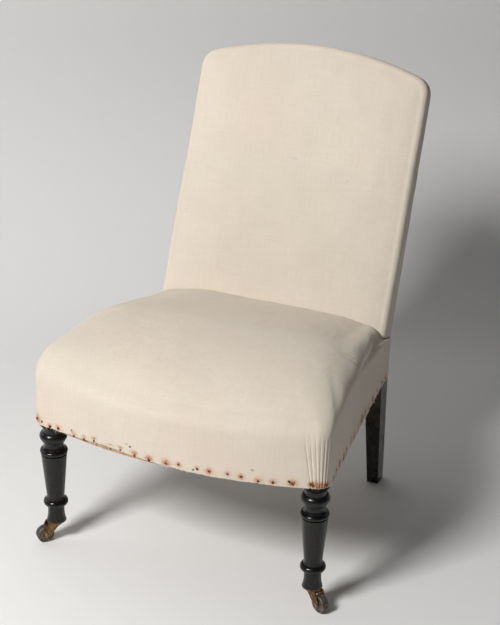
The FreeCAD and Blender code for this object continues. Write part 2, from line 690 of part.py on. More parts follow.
def seat_webbing():
    """Strips under the rails: front to back, and across beneath them."""
    strips = []
    top = SEAT_RAIL_BOTTOM
    half = WEBBING_WIDTH / 2
    rim = HESSIAN_MARGIN
    for i in range(SEAT_STRIPS):
        middle = (i - (SEAT_STRIPS - 1) / 2) * SEAT_STRIP_PITCH
        front = front_y(abs(middle) + half, rim)
        high = point(middle + half, BACK_RAIL_REAR_Y - rim, top)
        strips.append(box(point(middle - half, front, top - WEBBING), high))
    cross_pitch = (SEAT_DEPTH - CROSS_STRIP_START - CROSS_STRIP_END) / (SEAT_STRIPS - 1)
    for i in range(SEAT_STRIPS):
        front = FRONT_LEG_Y + CROSS_STRIP_START + i * cross_pitch - half
        reach = side_x(front + WEBBING_WIDTH, rim)
        low = point(-reach, front, top - 2 * WEBBING)
        strips.append(box(low, point(reach, front + WEBBING_WIDTH, top - WEBBING)))
    return group(strips)


def arc_with_tangent(start, handle, end):
    """Arc from start to end whose tangents at both ends meet at handle."""
    turn = (handle - start).getAngle(end - handle)
    weight = math.cos(turn / 2)
    middle = (start + handle * (2 * weight) + end) * (1 / (2 + 2 * weight))
    return arc(start, middle, end)


def biarc(start, start_way, end, end_way):
    """Two arcs that leave start and reach end along the given directions."""
    chord = end - start
    ways = start_way + end_way
    spread = 2 * (1 - start_way.dot(end_way))
    reach = (math.sqrt(chord.dot(ways) ** 2 + spread * chord.dot(chord)) - chord.dot(ways)) / spread
    first = start + start_way * reach
    second = end - end_way * reach
    joint = (first + second) * 0.5
    return [arc_with_tangent(start, first, joint), arc_with_tangent(joint, second, end)]


def spring():
    """Hourglass coil spring standing on the origin."""
    rise = SPRING_HEIGHT - 2 * SPRING_WIRE_RADIUS
    flare = SPRING_END_RADIUS - SPRING_WIRE_RADIUS - SPRING_WAIST_RADIUS

    def place(turn):
        share = turn / SPRING_TURNS
        radius = SPRING_WAIST_RADIUS + flare * (2 * share - 1) ** 2
        angle = 2 * math.pi * turn
        return point(radius * math.cos(angle), radius * math.sin(angle), SPRING_WIRE_RADIUS + rise * share)

    def way(turn):
        return (place(turn + 0.001) - place(turn - 0.001)).normalize()

    edges = []
    for half_turn in range(2 * SPRING_TURNS):
        start = half_turn / 2
        edges += biarc(place(start), way(start), place(start + 0.5), way(start + 0.5))
    section = Part.Wire(Part.Circle(place(0), way(0), SPRING_WIRE_RADIUS).toShape())
    return Part.Wire(edges).makePipeShell([section], True, False)


def seat_springs():
    """Two springs at the front, two at the rear and one midway between the rows."""
    front = FRONT_LEG_Y + SPRING_FRONT_START
    rear = SEAT_REAR_Y - SPRING_REAR_END
    places = [(-SPRING_FRONT_X, front), (SPRING_FRONT_X, front), (0, (front + rear) / 2)]
    places += [(-SPRING_REAR_X, rear), (SPRING_REAR_X, rear)]
    coils = []
    for x, y in places:
        coil = spring()
        coil.translate(point(x, y, SEAT_RAIL_BOTTOM))
        coils.append(coil)
    return group(coils)


# Upholstery of the back


def back_form(grow, base):
    """Padded solid of the back, grown by a thickness, running on behind its rear face."""
    wires = [back_wire(-grow, BACK_CORNER_RADIUS + grow, base, -BACK_DEPTH)]
    for i in range(BACK_EDGE_STEPS + 1):
        turn = math.pi / 2 * i / BACK_EDGE_STEPS
        n = BACK_EDGE_FOOT + (BACK_EDGE_RISE + grow) * math.sin(turn)
        inset = BACK_EDGE_IN * (1 - math.cos(turn)) - grow
        wires.append(back_wire(inset, BACK_CORNER_RADIUS + grow, base, n))
    for i in range(1, BACK_CROWN_STEPS + 1):
        way = i / BACK_CROWN_STEPS
        n = BACK_EDGE_FOOT + BACK_EDGE_RISE + BACK_CROWN_RISE * (1 - (1 - way) ** 3) + grow
        inset = BACK_EDGE_IN + (BACK_CROWN_IN - BACK_EDGE_IN) * way - grow
        radius = BACK_CORNER_RADIUS + (BACK_CROWN_CORNER_RADIUS - BACK_CORNER_RADIUS) * way + grow
        wires.append(back_wire(inset, radius, base, n))
    return on_back(Part.makeLoft(wires, True, True))


def back_cover():
    shell = back_form(0, BACK_BASE).cut(back_form(-CLOTH, 2 * BACK_BASE))
    return shell.cut(rear_waste(POST_REAR_INSET))


def back_stuffing():
    ahead = back_slab((-FAR / 4, -FAR / 4, HESSIAN_N + HESSIAN + CLOTH_GAP), (FAR / 4, FAR / 2, FAR / 4))
    return back_form(-CLOTH - CLOTH_GAP, BACK_BASE).common(ahead)


def back_hessian():
    outline = back_wire(BACK_HESSIAN_INSET, BACK_CORNER_RADIUS, LOWER_RAIL_BASE, HESSIAN_N)
    return on_back(prism(outline, Z * HESSIAN))


def back_webbing():
    """Strips on the front of the posts and rails: upright, and across in front of them."""
    strips = []
    half = WEBBING_WIDTH / 2
    back = -BACK_EDGE_PAD
    high = BACK_HEIGHT - CREST_RAIL_DEPTH / 2
    for x in BACK_STRIPS_UP:
        strips.append(back_slab((x - half, LOWER_RAIL_BASE, back), (x + half, high, back + WEBBING)))
    reach = POST_OUTER_ABOVE - HESSIAN_MARGIN
    for s in BACK_STRIPS_ACROSS:
        strips.append(back_slab((-reach, s - half, back + WEBBING), (reach, s + half, back + 2 * WEBBING)))
    return group(strips)


def outside_back_cover():
    """Sheet down the rear of the posts, from under the crest to the foot of the back seat rail."""
    outer = prism(post_profile(0, 0, POST_TOP_S + CREST_RAIL_DEPTH), X * FAR)
    inner = prism(post_profile(0, CLOTH, POST_TOP_S + 2 * CREST_RAIL_DEPTH), X * FAR)
    sheet = outer.cut(inner)
    sheet.translate(X * (-FAR / 2))
    radius = BACK_CORNER_RADIUS - OUTSIDE_BACK_INSET
    outline = back_wire(OUTSIDE_BACK_INSET, radius, -BACK_HEIGHT, -FAR / 4)
    sheet = sheet.common(on_back(prism(outline, Z * FAR / 2)))
    sheet = sheet.cut(box(point(-FAR, -FAR, -FAR), point(FAR, FAR, SEAT_RAIL_BOTTOM)))
    return max(sheet.Solids, key=lambda solid: solid.CenterOfMass.y)


# Tacks


def tack(at, outward):
    head = Part.makeCone(TACK_HEAD_RADIUS, TACK_HEAD_RADIUS / 2, TACK_HEAD_HEIGHT, at, outward)
    shank = Part.makeCone(TACK_SHANK_RADIUS, TACK_SHANK_RADIUS / 4, TACK_LENGTH, at, -outward)
    return head.fuse(shank)


def seat_tacks():
    """Tacks along the lower edge of the cover, across the bowed front and back along both sides."""
    tacks = []
    z = SEAT_RAIL_BOTTOM + TACK_RISE
    front_radius = FRONT_BOW_RADIUS + COVER_OUT
    step = TACK_PITCH / front_radius
    count = int(BLOCK_INNER_X / TACK_PITCH)
    for i in range(-count, count + 1):
        outward = point(math.sin(i * step), -math.cos(i * step), 0)
        tacks.append(tack(point(0, FRONT_BOW_CENTRE_Y, z) + outward * front_radius, outward))
    side_radius = SIDE_RADIUS - COVER_OUT
    side_tacks = []
    for i in range(int((SEAT_DEPTH - LEG_BLOCK / 2) / TACK_PITCH) + 1):
        y = FRONT_LEG_Y + i * TACK_PITCH
        turn = math.asin((y - SIDE_CENTRE.y) / side_radius)
        outward = point(math.cos(turn), -math.sin(turn), 0)
        side_tacks.append(tack(point(SIDE_CENTRE.x, SIDE_CENTRE.y, z) - outward * side_radius, outward))
    return group(tacks + both_sides(side_tacks))


def back_tacks():
    """Tacks round the outside back: up both posts, along the crest and along the back seat rail."""
    behind = point(0, RAKE_COS, -RAKE_SIN)
    x = POST_OUTER_ABOVE - POST_WIDTH / 2
    tacks = []
    for i in range(int(POST_TOP_S / BACK_TACK_PITCH)):
        s = LOWER_RAIL_BASE + i * BACK_TACK_PITCH
        tacks += both_sides([tack(back_point(x, s, rear_n(s, 0)), behind)])
    count = int(x / BACK_TACK_PITCH)
    for i in range(-count, count + 1):
        crest_x = i * BACK_TACK_PITCH
        arch_drop = BACK_ARCH_RADIUS - math.sqrt(BACK_ARCH_RADIUS ** 2 - crest_x ** 2)
        s = BACK_HEIGHT - arch_drop - BACK_TACK_EDGE
        tacks.append(tack(back_point(crest_x, s, rear_n(s, 0)), behind))
        z = SEAT_RAIL_BOTTOM + TACK_RISE
        rear_face = knee((0, POST_TOP_S), (rear_n(0, 0), rear_n(POST_TOP_S, 0))).y
        y = FOOT_REAR_Y + (rear_face - FOOT_REAR_Y) * z / KNEE_Z
        tacks.append(tack(point(crest_x, y, z), Y))
    return group(tacks)


# Casters, made with the swivel axis on Z and the wheel trailing towards +X


def caster_plate():
    plate = turned([(CASTER_PLATE_RADIUS - 1, CASTER_PLATE_Z), (CASTER_PLATE_RADIUS, CASTER_PLATE_Z + 1),
                    (CASTER_PLATE_RADIUS, LEG_FOOT_Z), (0, LEG_FOOT_Z)], CASTER_PLATE_Z)
    return plate.cut(rod(Z * CASTER_PLATE_Z, Z, PINTLE_RADIUS, CASTER_PLATE_THICKNESS))


def caster_pintle():
    """Pin riveted in the plate, with its peened end under the horn."""
    head_top = HORN_BRIDGE_Z - PINTLE_PLAY
    head_low = head_top - PINTLE_HEAD_HEIGHT
    steps = [(PINTLE_HEAD_RADIUS - 1, head_low), (PINTLE_HEAD_RADIUS, head_low + 1)]
    steps += [(PINTLE_HEAD_RADIUS, head_top)]
    steps += [(PINTLE_RADIUS, head_top), (PINTLE_RADIUS, LEG_FOOT_Z), (0, LEG_FOOT_Z)]
    return turned(steps, head_low)


def plate_screws():
    screws = []
    for i in range(PLATE_SCREWS):
        angle = math.radians(45 + i * 360 / PLATE_SCREWS)
        foot = point(math.cos(angle), math.sin(angle), 0) * PLATE_SCREW_CIRCLE + Z * CASTER_PLATE_Z
        head = Part.makeCone(PLATE_SCREW_HEAD_RADIUS, PLATE_SCREW_RADIUS, CASTER_PLATE_THICKNESS, foot, Z)
        screws.append(head.fuse(rod(foot, Z, PLATE_SCREW_RADIUS, PLATE_SCREW_LENGTH)).removeSplitter())
    return group(screws)


def horn_arm():
    """One cheek of the horn, from the bridge back and down to the axle eye."""
    top = HORN_BRIDGE_Z + HORN_BRIDGE_THICKNESS
    eye = HORN_EYE_RADIUS
    y = WHEEL_WIDTH / 2 + WHEEL_SIDE_GAP
    corners = [(point(-PINTLE_HEAD_RADIUS, y, top), 0), (point(SWIVEL_TRAIL - eye, y, top), 3)]
    corners += [(point(SWIVEL_TRAIL + eye, y, WHEEL_RADIUS + eye / 2), 3)]
    corners += [(point(SWIVEL_TRAIL + eye, y, WHEEL_RADIUS - eye), eye - 0.2)]
    corners += [(point(SWIVEL_TRAIL - eye, y, WHEEL_RADIUS - eye), eye - 0.2)]
    corners += [(point(0, y, HORN_BRIDGE_Z - PINTLE_HEAD_HEIGHT), 3)]
    corners += [(point(-PINTLE_HEAD_RADIUS, y, HORN_BRIDGE_Z), 0)]
    return prism(closed_path(corners), Y * HORN_ARM_THICKNESS)


def caster_horn():
    bridge = rod(Z * HORN_BRIDGE_Z, Z, HORN_HALF_WIDTH, HORN_BRIDGE_THICKNESS)
    low = point(0, -HORN_HALF_WIDTH, HORN_BRIDGE_Z)
    high = point(SWIVEL_TRAIL - HORN_EYE_RADIUS - 2, HORN_HALF_WIDTH, HORN_BRIDGE_Z + HORN_BRIDGE_THICKNESS)
    arm = horn_arm()
    horn = bridge.fuse([box(low, high), arm, arm.mirror(point(0, 0, 0), Y)]).removeSplitter()
    bore = rod(Z * (HORN_BRIDGE_Z - 1), Z, PINTLE_RADIUS + PINTLE_FIT, HORN_BRIDGE_THICKNESS + 2)
    axle_hole = rod(point(SWIVEL_TRAIL, -WHEEL_WIDTH, WHEEL_RADIUS), Y, AXLE_RADIUS, 2 * WHEEL_WIDTH)
    return horn.cut(bore).cut(axle_hole)


def caster_axle():
    head_end = HORN_HALF_WIDTH + AXLE_HEAD_HEIGHT
    steps = [(AXLE_HEAD_RADIUS - 0.5, -head_end), (AXLE_HEAD_RADIUS, -HORN_HALF_WIDTH)]
    steps += [(AXLE_RADIUS, -HORN_HALF_WIDTH), (AXLE_RADIUS, HORN_HALF_WIDTH)]
    steps += [(AXLE_HEAD_RADIUS, HORN_HALF_WIDTH), (AXLE_HEAD_RADIUS - 0.5, head_end), (0, head_end)]
    return across_trail(turned(steps, -head_end))


def across_trail(shape):
    """Turn a shape made about Z onto the wheel's axis."""
    turn = FreeCAD.Rotation(X, -90)
    return shape.transformed(FreeCAD.Placement(point(SWIVEL_TRAIL, 0, WHEEL_RADIUS), turn).toMatrix())


def caster_wheel():
    """Grooved tread on a wheel with recessed faces."""
    half = WHEEL_WIDTH / 2
    web = half - WHEEL_FACE_RECESS
    rim = WHEEL_RADIUS - WHEEL_RIM
    bore = AXLE_RADIUS + AXLE_FIT
    land = WHEEL_WIDTH / (2 * WHEEL_GROOVES + 1)
    steps = [(WHEEL_HUB_RADIUS, -half), (WHEEL_HUB_RADIUS + 0.6, -web), (rim - 0.6, -web), (rim, -half)]
    steps += [(WHEEL_RADIUS - 0.6, -half), (WHEEL_RADIUS, -half + 0.6)]
    for i in range(WHEEL_GROOVES):
        start = -half + land * (2 * i + 1)
        steps += [(WHEEL_RADIUS, start), (WHEEL_RADIUS - WHEEL_GROOVE, start + 0.3)]
        steps += [(WHEEL_RADIUS - WHEEL_GROOVE, start + land - 0.3), (WHEEL_RADIUS, start + land)]
    steps += [(WHEEL_RADIUS, half - 0.6), (WHEEL_RADIUS - 0.6, half), (rim, half), (rim - 0.6, web)]
    steps += [(WHEEL_HUB_RADIUS + 0.6, web), (WHEEL_HUB_RADIUS, half), (0, half)]
    wheel = turned(steps, -half)
    wheel = wheel.cut(rod(point(0, 0, -WHEEL_WIDTH), Z, bore, 2 * WHEEL_WIDTH))
    return across_trail(wheel)


def under_leg(shape, side, angle):
    """Swing a caster piece to its resting direction and stand it under a front leg."""
    turn = FreeCAD.Rotation(Z, angle)
    place = FreeCAD.Placement(point(side * LEG_SPACING / 2, FRONT_LEG_Y, 0), turn)
    return shape.transformed(place.toMatrix())


def main():
    os.makedirs("parts", exist_ok=True)

    # Frame, with its dowel holes
    dowels = both_sides(right_dowels())
    holes = Part.makeCompound(dowels)
    post = back_post(0)
    leg = front_leg()
    rail = side_rail()
    screws = plate_screws()
    for name, side, angle in (("left", -1, LEFT_TRAIL_ANGLE), ("right", 1, RIGHT_TRAIL_ANGLE)):
        turned_leg = leg if side > 0 else mirrored(leg)
        own_screws = under_leg(screws, side, 0)
        write("front_leg_" + name, turned_leg.cut(holes).cut(own_screws))
        write("back_post_" + name, (post if side > 0 else mirrored(post)).cut(holes))
        write("side_rail_" + name, (rail if side > 0 else mirrored(rail)).cut(holes))
        write("caster_plate_" + name, under_leg(caster_plate(), side, 0).cut(own_screws))
        write("caster_plate_screws_" + name, own_screws)
        write("caster_pintle_" + name, under_leg(caster_pintle(), side, 0))
        write("caster_horn_" + name, under_leg(caster_horn(), side, angle))
        write("caster_axle_" + name, under_leg(caster_axle(), side, angle))
        write("caster_wheel_" + name, under_leg(caster_wheel(), side, angle))
    write("front_rail", front_rail().cut(holes))
    write("back_rail", back_rail().cut(holes))
    write("crest_rail", crest_rail().cut(holes))
    write("lower_back_rail", lower_back_rail().cut(holes))
    write("rail_dowels", group(dowels))

    # Corner blocks
    slant = math.sqrt(0.5)
    front_corner = point(BLOCK_INNER_X, BLOCK_INNER_Y, 0)
    post_front = knee((0, POST_TOP_S), (-BACK_EDGE_PAD, -BACK_EDGE_PAD)).y
    rear_corner = point(POST_INNER_X, post_front, 0)
    solids = Part.makeCompound([leg, post])
    along = point(slant, slant, 0)
    across = point(-slant, slant, 0)
    front_block, front_screws = corner_block(front_corner, along, across, solids)
    rear_block, rear_screws = corner_block(rear_corner, -across, -along, solids)
    write("corner_blocks", group(both_sides([front_block, rear_block])))
    write("corner_block_screws", group(both_sides(front_screws + rear_screws)))

    # Seat
    back = back_form(SOFT_GAP, BACK_BASE - SOFT_GAP)
    keep_clear = Part.makeCompound(both_sides([back_post(SOFT_GAP)]) + [back])
    above_rails = box(point(-FAR, -FAR, SEAT_RAIL_TOP + CLOTH_GAP), point(FAR, FAR, FAR))
    outer = seat_form(COVER_OUT, SEAT_RAIL_BOTTOM, SOFT_REAR_Y)
    lining = seat_form(CLOTH_GAP, SEAT_RAIL_BOTTOM - CLOTH, SOFT_REAR_Y + CLOTH)
    write("seat_cover", outer.cut(lining).cut(keep_clear))
    under_wadding = seat_form(-WADDING, SEAT_RAIL_BOTTOM - 1, SOFT_REAR_Y + 1)
    wadding = seat_form(0, SEAT_RAIL_BOTTOM, SOFT_REAR_Y).cut(under_wadding)
    write("seat_wadding", wadding.common(above_rails).cut(keep_clear))
    stuffing = seat_form(-WADDING - CLOTH_GAP, SEAT_RAIL_BOTTOM, SOFT_REAR_Y).common(above_rails)
    write("seat_stuffing", stuffing.cut(hessian_form(-CLOTH_GAP)).cut(keep_clear))
    write("seat_hessian", hessian_form(0).cut(hessian_form(HESSIAN)).cut(keep_clear))
    write("seat_springs", seat_springs())
    write("seat_webbing", seat_webbing())
    write("seat_tacks", seat_tacks())

    # Back
    write("back_webbing", back_webbing())
    write("back_hessian", back_hessian())
    write("back_stuffing", back_stuffing())
    write("back_cover", back_cover())
    write("outside_back_cover", outside_back_cover())
    write("back_tacks", back_tacks())


main()
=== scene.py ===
"""Looks of the slipper chair: calico cushions, tacks, webbing, woods, casters and a plain studio.

Lengths are in millimetres in the CAD's frame, and are turned to metres where a mesh is made.
"""

import math
import random

import bpy
import numpy as np
from mathutils import Matrix, Vector, noise


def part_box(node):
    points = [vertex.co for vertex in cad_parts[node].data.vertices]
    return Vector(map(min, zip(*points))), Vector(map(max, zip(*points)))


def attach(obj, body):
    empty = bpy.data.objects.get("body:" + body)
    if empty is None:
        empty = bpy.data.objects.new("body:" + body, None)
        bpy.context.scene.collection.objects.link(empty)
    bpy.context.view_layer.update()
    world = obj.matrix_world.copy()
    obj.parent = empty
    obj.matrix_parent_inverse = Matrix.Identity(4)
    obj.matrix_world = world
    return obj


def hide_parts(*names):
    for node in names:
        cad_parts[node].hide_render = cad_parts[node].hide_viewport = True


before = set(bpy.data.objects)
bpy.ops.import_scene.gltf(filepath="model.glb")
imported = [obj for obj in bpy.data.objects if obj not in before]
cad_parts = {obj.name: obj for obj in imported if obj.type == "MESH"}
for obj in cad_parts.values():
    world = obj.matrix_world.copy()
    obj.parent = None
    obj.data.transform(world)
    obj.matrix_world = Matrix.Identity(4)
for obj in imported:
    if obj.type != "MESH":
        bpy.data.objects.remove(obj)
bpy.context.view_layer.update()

ROOT = "chair"
MM = 0.001
LEFT = -1
RIGHT = 1

# Seat frame in plan, as in the CAD
FRONT_LEG_Y = -260.2
RAIL_BOTTOM = 228.0
RAIL_TOP = 290.0
FRONT_PROJECTION = 53.5
FRONT_BOW_RADIUS = 795.0
FRONT_HALF_WIDTH = 258.5
REAR_HALF_WIDTH = 214.5
SIDE_HOLLOW = 5.3
SEAT_DEPTH = 388.0
SEAT_TUCK = 12.0
SEAT_CORNER_RADIUS = 25.0
FRONT_BOW_CENTRE_Y = FRONT_LEG_Y - FRONT_PROJECTION + FRONT_BOW_RADIUS
SEAT_FRONT_Y = FRONT_LEG_Y - FRONT_PROJECTION
SEAT_REAR_Y = FRONT_LEG_Y + SEAT_DEPTH
SOFT_REAR_Y = SEAT_REAR_Y + SEAT_TUCK

# Crown of the seat
SHOULDER_FOOT_Z = 304.0
DOME_RISE = 82.0
DOME_IN_SIDE = 185.0
DOME_IN_FRONT = 204.0
DOME_SIDE_POWER = 4.3
DOME_FRONT_POWER = 2.9
CORNER_OPENING = 0.6
ROLL_OUT = 6.5
ROLL_FRONT_Z = 317.0
ROLL_RISE = 17.0
CROWN_PEAK_Y = FRONT_LEG_Y + 150.0
CROWN_FALL_FRONT = 26.0
CROWN_FALL_REAR = 0.25
CROWN_REAR_EASE = 40.0
SIDE_SINK = 7.5
SIDE_SINK_Y = 30.0
SIDE_SINK_REACH = 95.0

# Raked back
RAKE = math.radians(22.36)
RAKE_SIN = math.sin(RAKE)
RAKE_COS = math.cos(RAKE)
BACK_FOOT_Y = FRONT_LEG_Y + 380.2
BACK_LIFT = 328.8
BACK_HEIGHT = 466.0
BACK_HALF_WIDTH = 211.5
BACK_ARCH_RADIUS = 590.0
ARCH_CENTRE = BACK_HEIGHT - BACK_ARCH_RADIUS
BACK_CORNER_RADIUS = 30.0
BACK_THICKNESS_LOW = 37.0
BACK_THICKNESS_TOP = 22.0
BACK_BASE = -18.0
BACK_LEFT_BULGE = 5.5
BACK_EDGE_FOOT = -6.5
BACK_EDGE_RISE = 8.5
BACK_EDGE_IN = 9.0
BACK_CROWN_RISE = 13.0
BACK_CROWN_IN = 135.0
BACK_CROWN_CORNER_RADIUS = 70.0
BACK_PAD_ROWS = ((140, -1.5), (60, -1.5), (4, -1.5), (4, -1.3), (14, 1.5), (50, 3.0), (110, 3.0))
OUTSIDE_BACK_INSET = 3.0
KNEE_Z = 268.0
FOOT_REAR_Y = FRONT_LEG_Y + 406.0 + 27.0

# Cloth; the cover is fuller at its left front corner, lifts along the front and sags along the sides
LEFT_CORNER_FULL = 6.0
FRONT_HEM_LIFT = 6.5
SIDE_HEM_DROP = 10.0
CLOTH = 1.2
HESSIAN = 0.8
COVER_OUT = 1.5
TACK_PITCH = 26.0
TACK_Z = 235.0
BACK_TACK_PITCH = 38.0
RIGHT_PLEATS = {"count": 7, "start": -25, "pitch": 4.3, "depth": 1.35, "top": 324}
LEFT_PLEATS = {"count": 5, "start": -10, "pitch": 5.0, "depth": 0.6, "top": 305}

# Rust at the front corners: side, distance round the hem from the corner, height, reach, strength
CORNER_STAINS = ((LEFT, -4, 238, 10, 1.0), (LEFT, 9, 236, 8, 0.8), (RIGHT, -12, 234, 7, 0.8),
                 (RIGHT, -4, 231, 6, 0.9), (RIGHT, -20, 235, 6, 0.9))

# Tack heads as rings of size and lift, threads and webbing straps
HEAD_RINGS = ((1.0, -0.6), (1.04, 0.15), (0.85, 0.75), (0.45, 1.1))
HEAD_CORNERS = 12
SEAT_HEAD_RADIUS = 2.7
BACK_HEAD_RADIUS = 3.1
THREADS = 760
THREAD_STEPS = 4
STRAP_WIDTH = 50.0
STRAP_PITCH = 86.0
SEAT_STRAP = 1.4
BACK_STRAP = 1.3

# Camera at the photograph's place, in metres; yaw, pitch and roll in degrees
CAMERA_PLACE = (0.9976, -2.3224, 1.5355)
CAMERA_TURNS = (23.109, 24.833, 1.058)
FOCAL_PIXELS = 1629.55
PICTURE_HEIGHT = 625
SENSOR = 36.0

# Studio, in metres and watts; a light is its name, place, aim, size, power and colour
SWEEP_START = 0.55
SWEEP_RADIUS = 0.55
SWEEP_STEPS = 18
SWEEP_TURN = 23.1
FLOOR_FRONT = 6.0
FLOOR_HALF_WIDTH = 7.0
WALL_TOP = 5.0
WORLD_COLOUR = (0.93, 0.965, 1.0)
WORLD_STRENGTH = 0.06
LIGHTS = (("key", (-0.9, -2.5, 2.5), (0.0, 0.0, 0.3), (0.9, 0.9), 110, (1.0, 0.985, 0.965)),
          ("left", (-2.6, -0.4, 1.7), (0.0, 0.3, 0.4), (0.9, 1.2), 6, (1.0, 0.99, 0.975)))

# Mesh steps
FRONT_COLUMNS = 150
CORNER_COLUMNS = 46
SIDE_COLUMNS = 120
DOME_ROWS = 64
SPINE_ROWS = 9
FINE_HEM_TOP = 256.0
FINE_HEM_STEP = 1.7
TACKED_ROWS = 60
BACK_EDGE_ROWS = 14
BACK_CROWN_ROWS = 24
STRAP_STEPS = 60
STRAP_CELLS = 10

# Colours, linear
CALICO = (0.77, 0.69, 0.585)
CALICO_WARM = (0.79, 0.655, 0.54)
CALICO_GREY = (0.69, 0.62, 0.525)
RUST = (0.5, 0.17, 0.035)
RUST_DARK = (0.05, 0.022, 0.012)
JUTE = (0.42, 0.31, 0.18)
THREAD_SHADE = (0.55, 0.46, 0.36)
FLECK = (0.3, 0.16, 0.08)
FRAYED = (0.86, 0.8, 0.7)
PAINTED = ("rust", "low", "band", "frayed")


# Node helpers


def node(tree, kind, inputs=(), **settings):
    made = tree.nodes.new(kind)
    for key, value in settings.items():
        setattr(made, key, value)
    for key, value in dict(inputs).items():
        if isinstance(value, bpy.types.NodeSocket):
            tree.links.new(value, made.inputs[key])
        else:
            made.inputs[key].default_value = value
    return made


def maths(tree, operation, a, b=0.0, clamp=False):
    return node(tree, "ShaderNodeMath", {0: a, 1: b}, operation=operation, use_clamp=clamp).outputs[0]


def times(tree, a, b):
    return maths(tree, "MULTIPLY", a, b)


def plus(tree, a, b, clamp=False):
    return maths(tree, "ADD", a, b, clamp)


def grey(value):
    return (value, value, value)


def rgba(colour):
    return (colour[0], colour[1], colour[2], 1.0)


def mix(tree, share, a, b):
    values = {0: share}
    for key, value in ((6, a), (7, b)):
        values[key] = value if isinstance(value, bpy.types.NodeSocket) else rgba(value)
    return node(tree, "ShaderNodeMix", values, data_type="RGBA").outputs[2]


def ramp(tree, value, low, high):
    """Value mapped so that low gives 0 and high gives 1, eased."""
    made = node(tree, "ShaderNodeMapRange", {0: value, 1: low, 2: high}, interpolation_type="SMOOTHSTEP")
    return made.outputs[0]


def coordinates(tree, source="Object", scale=(1.0, 1.0, 1.0)):
    start = node(tree, "ShaderNodeTexCoord").outputs[source]
    return node(tree, "ShaderNodeMapping", {0: start, 3: scale}).outputs[0]


def noisy(tree, vector, scale, detail=3.0, roughness=0.5, distortion=0.0):
    inputs = {"Vector": vector, "Scale": scale, "Detail": detail, "Roughness": roughness}
    inputs["Distortion"] = distortion
    return node(tree, "ShaderNodeTexNoise", inputs).outputs["Fac"]


def cloudy(tree, scale, detail=3.0, roughness=0.5, distortion=0.0):
    """Noise over the object's own coordinates."""
    return noisy(tree, coordinates(tree), scale, detail, roughness, distortion)


def wave(tree, vector, scale, direction, distortion=0.0, profile="SIN"):
    inputs = {"Vector": vector, "Scale": scale, "Distortion": distortion, "Detail": 1.0}
    made = node(tree, "ShaderNodeTexWave", inputs, bands_direction=direction, wave_profile=profile)
    return made.outputs["Fac"]


def attribute(tree, name):
    return node(tree, "ShaderNodeAttribute", attribute_name=name).outputs["Fac"]


def material(name, colour, roughness, metallic=0.0, bump=None, distance=0.0, **constants):
    """Principled material; colour and roughness may be made by functions of the node tree."""
    made = bpy.data.materials.new(name)
    made.use_nodes = True
    tree = made.node_tree
    shader = tree.nodes["Principled BSDF"]
    for key, value in (("Base Color", colour), ("Roughness", roughness)):
        value = value(tree) if callable(value) else value
        if isinstance(value, bpy.types.NodeSocket):
            tree.links.new(value, shader.inputs[key])
        else:
            shader.inputs[key].default_value = rgba(value) if key == "Base Color" else value
    shader.inputs["Metallic"].default_value = metallic
    for key, value in constants.items():
        shader.inputs[key.replace("_", " ")].default_value = value
    if bump:
        bumped = node(tree, "ShaderNodeBump", {"Height": bump(tree), "Strength": 1.0, "Distance": distance})
        tree.links.new(bumped.outputs[0], shader.inputs["Normal"])
    return made


# Materials


def slubs(tree, fine, coarse, detail):
    """Sum of streaks along both ways of the UV plane, as of uneven threads."""
    along = noisy(tree, coordinates(tree, "UV", (coarse, fine, 1)), 1.0, detail)
    across = noisy(tree, coordinates(tree, "UV", (fine, coarse, 1)), 1.0, detail)
    return plus(tree, along, across)


def spots(tree, scale, low, high):
    """Small round spots in the UV plane."""
    cells = node(tree, "ShaderNodeTexVoronoi", {"Vector": coordinates(tree, "UV"), "Scale": scale})
    return ramp(tree, cells.outputs["Distance"], low, high)


def weave_height(tree, pitch, slub=0.5):
    """Plain weave in the UV plane, with thicker threads here and there."""
    uv = coordinates(tree, "UV")
    warp, weft = (wave(tree, uv, math.pi / 10 / pitch, way, 0.6) for way in "XY")
    return plus(tree, times(tree, warp, weft), times(tree, slubs(tree, 900, 30, 2.0), slub))


def calico_colour(tree):
    """Unbleached cloth with blotches, uneven threads, flecks, tack holes, rust and a pale cut edge."""
    uv = coordinates(tree, "UV")
    blotches = ramp(tree, cloudy(tree, 9.0, 4.0, 0.55), 0.36, 0.66)
    warm = ramp(tree, cloudy(tree, 5.0, 3.0, 0.5, 0.4), 0.48, 0.72)
    warmth = plus(tree, times(tree, warm, 0.35), times(tree, attribute(tree, "low"), 0.5), True)
    colour = mix(tree, times(tree, blotches, 0.38), CALICO, CALICO_GREY)
    colour = mix(tree, warmth, colour, CALICO_WARM)
    threads = ramp(tree, slubs(tree, 620, 24, 3.0), 0.75, 1.3)
    colour = mix(tree, times(tree, threads, 0.2), colour, THREAD_SHADE)
    rare = ramp(tree, noisy(tree, uv, 17.0, 1.0), 0.6, 0.64)
    flecks = times(tree, spots(tree, 26.0, 0.045, 0.02), rare)
    colour = mix(tree, times(tree, flecks, 0.6), colour, FLECK)
    chosen = ramp(tree, noisy(tree, uv, 45.0, 1.0), 0.46, 0.5)
    holes = times(tree, times(tree, spots(tree, 58.0, 0.2, 0.11), attribute(tree, "band")), chosen)
    stain = attribute(tree, "rust")
    broken = times(tree, stain, ramp(tree, cloudy(tree, 420.0, 3.0, 0.6), 0.3, 0.62))
    halo = plus(tree, times(tree, stain, 0.35), times(tree, broken, 0.9), True)
    colour = mix(tree, halo, colour, RUST)
    core = times(tree, ramp(tree, broken, 0.6, 1.0), 0.8)
    colour = mix(tree, maths(tree, "MAXIMUM", core, holes), colour, RUST_DARK)
    return mix(tree, attribute(tree, "frayed"), colour, FRAYED)


def calico_bump(tree):
    ripples = cloudy(tree, 70.0, 3.0, 0.5)
    height = times(tree, weave_height(tree, 0.0006), 0.35)
    return plus(tree, height, times(tree, ripples, 1.6))


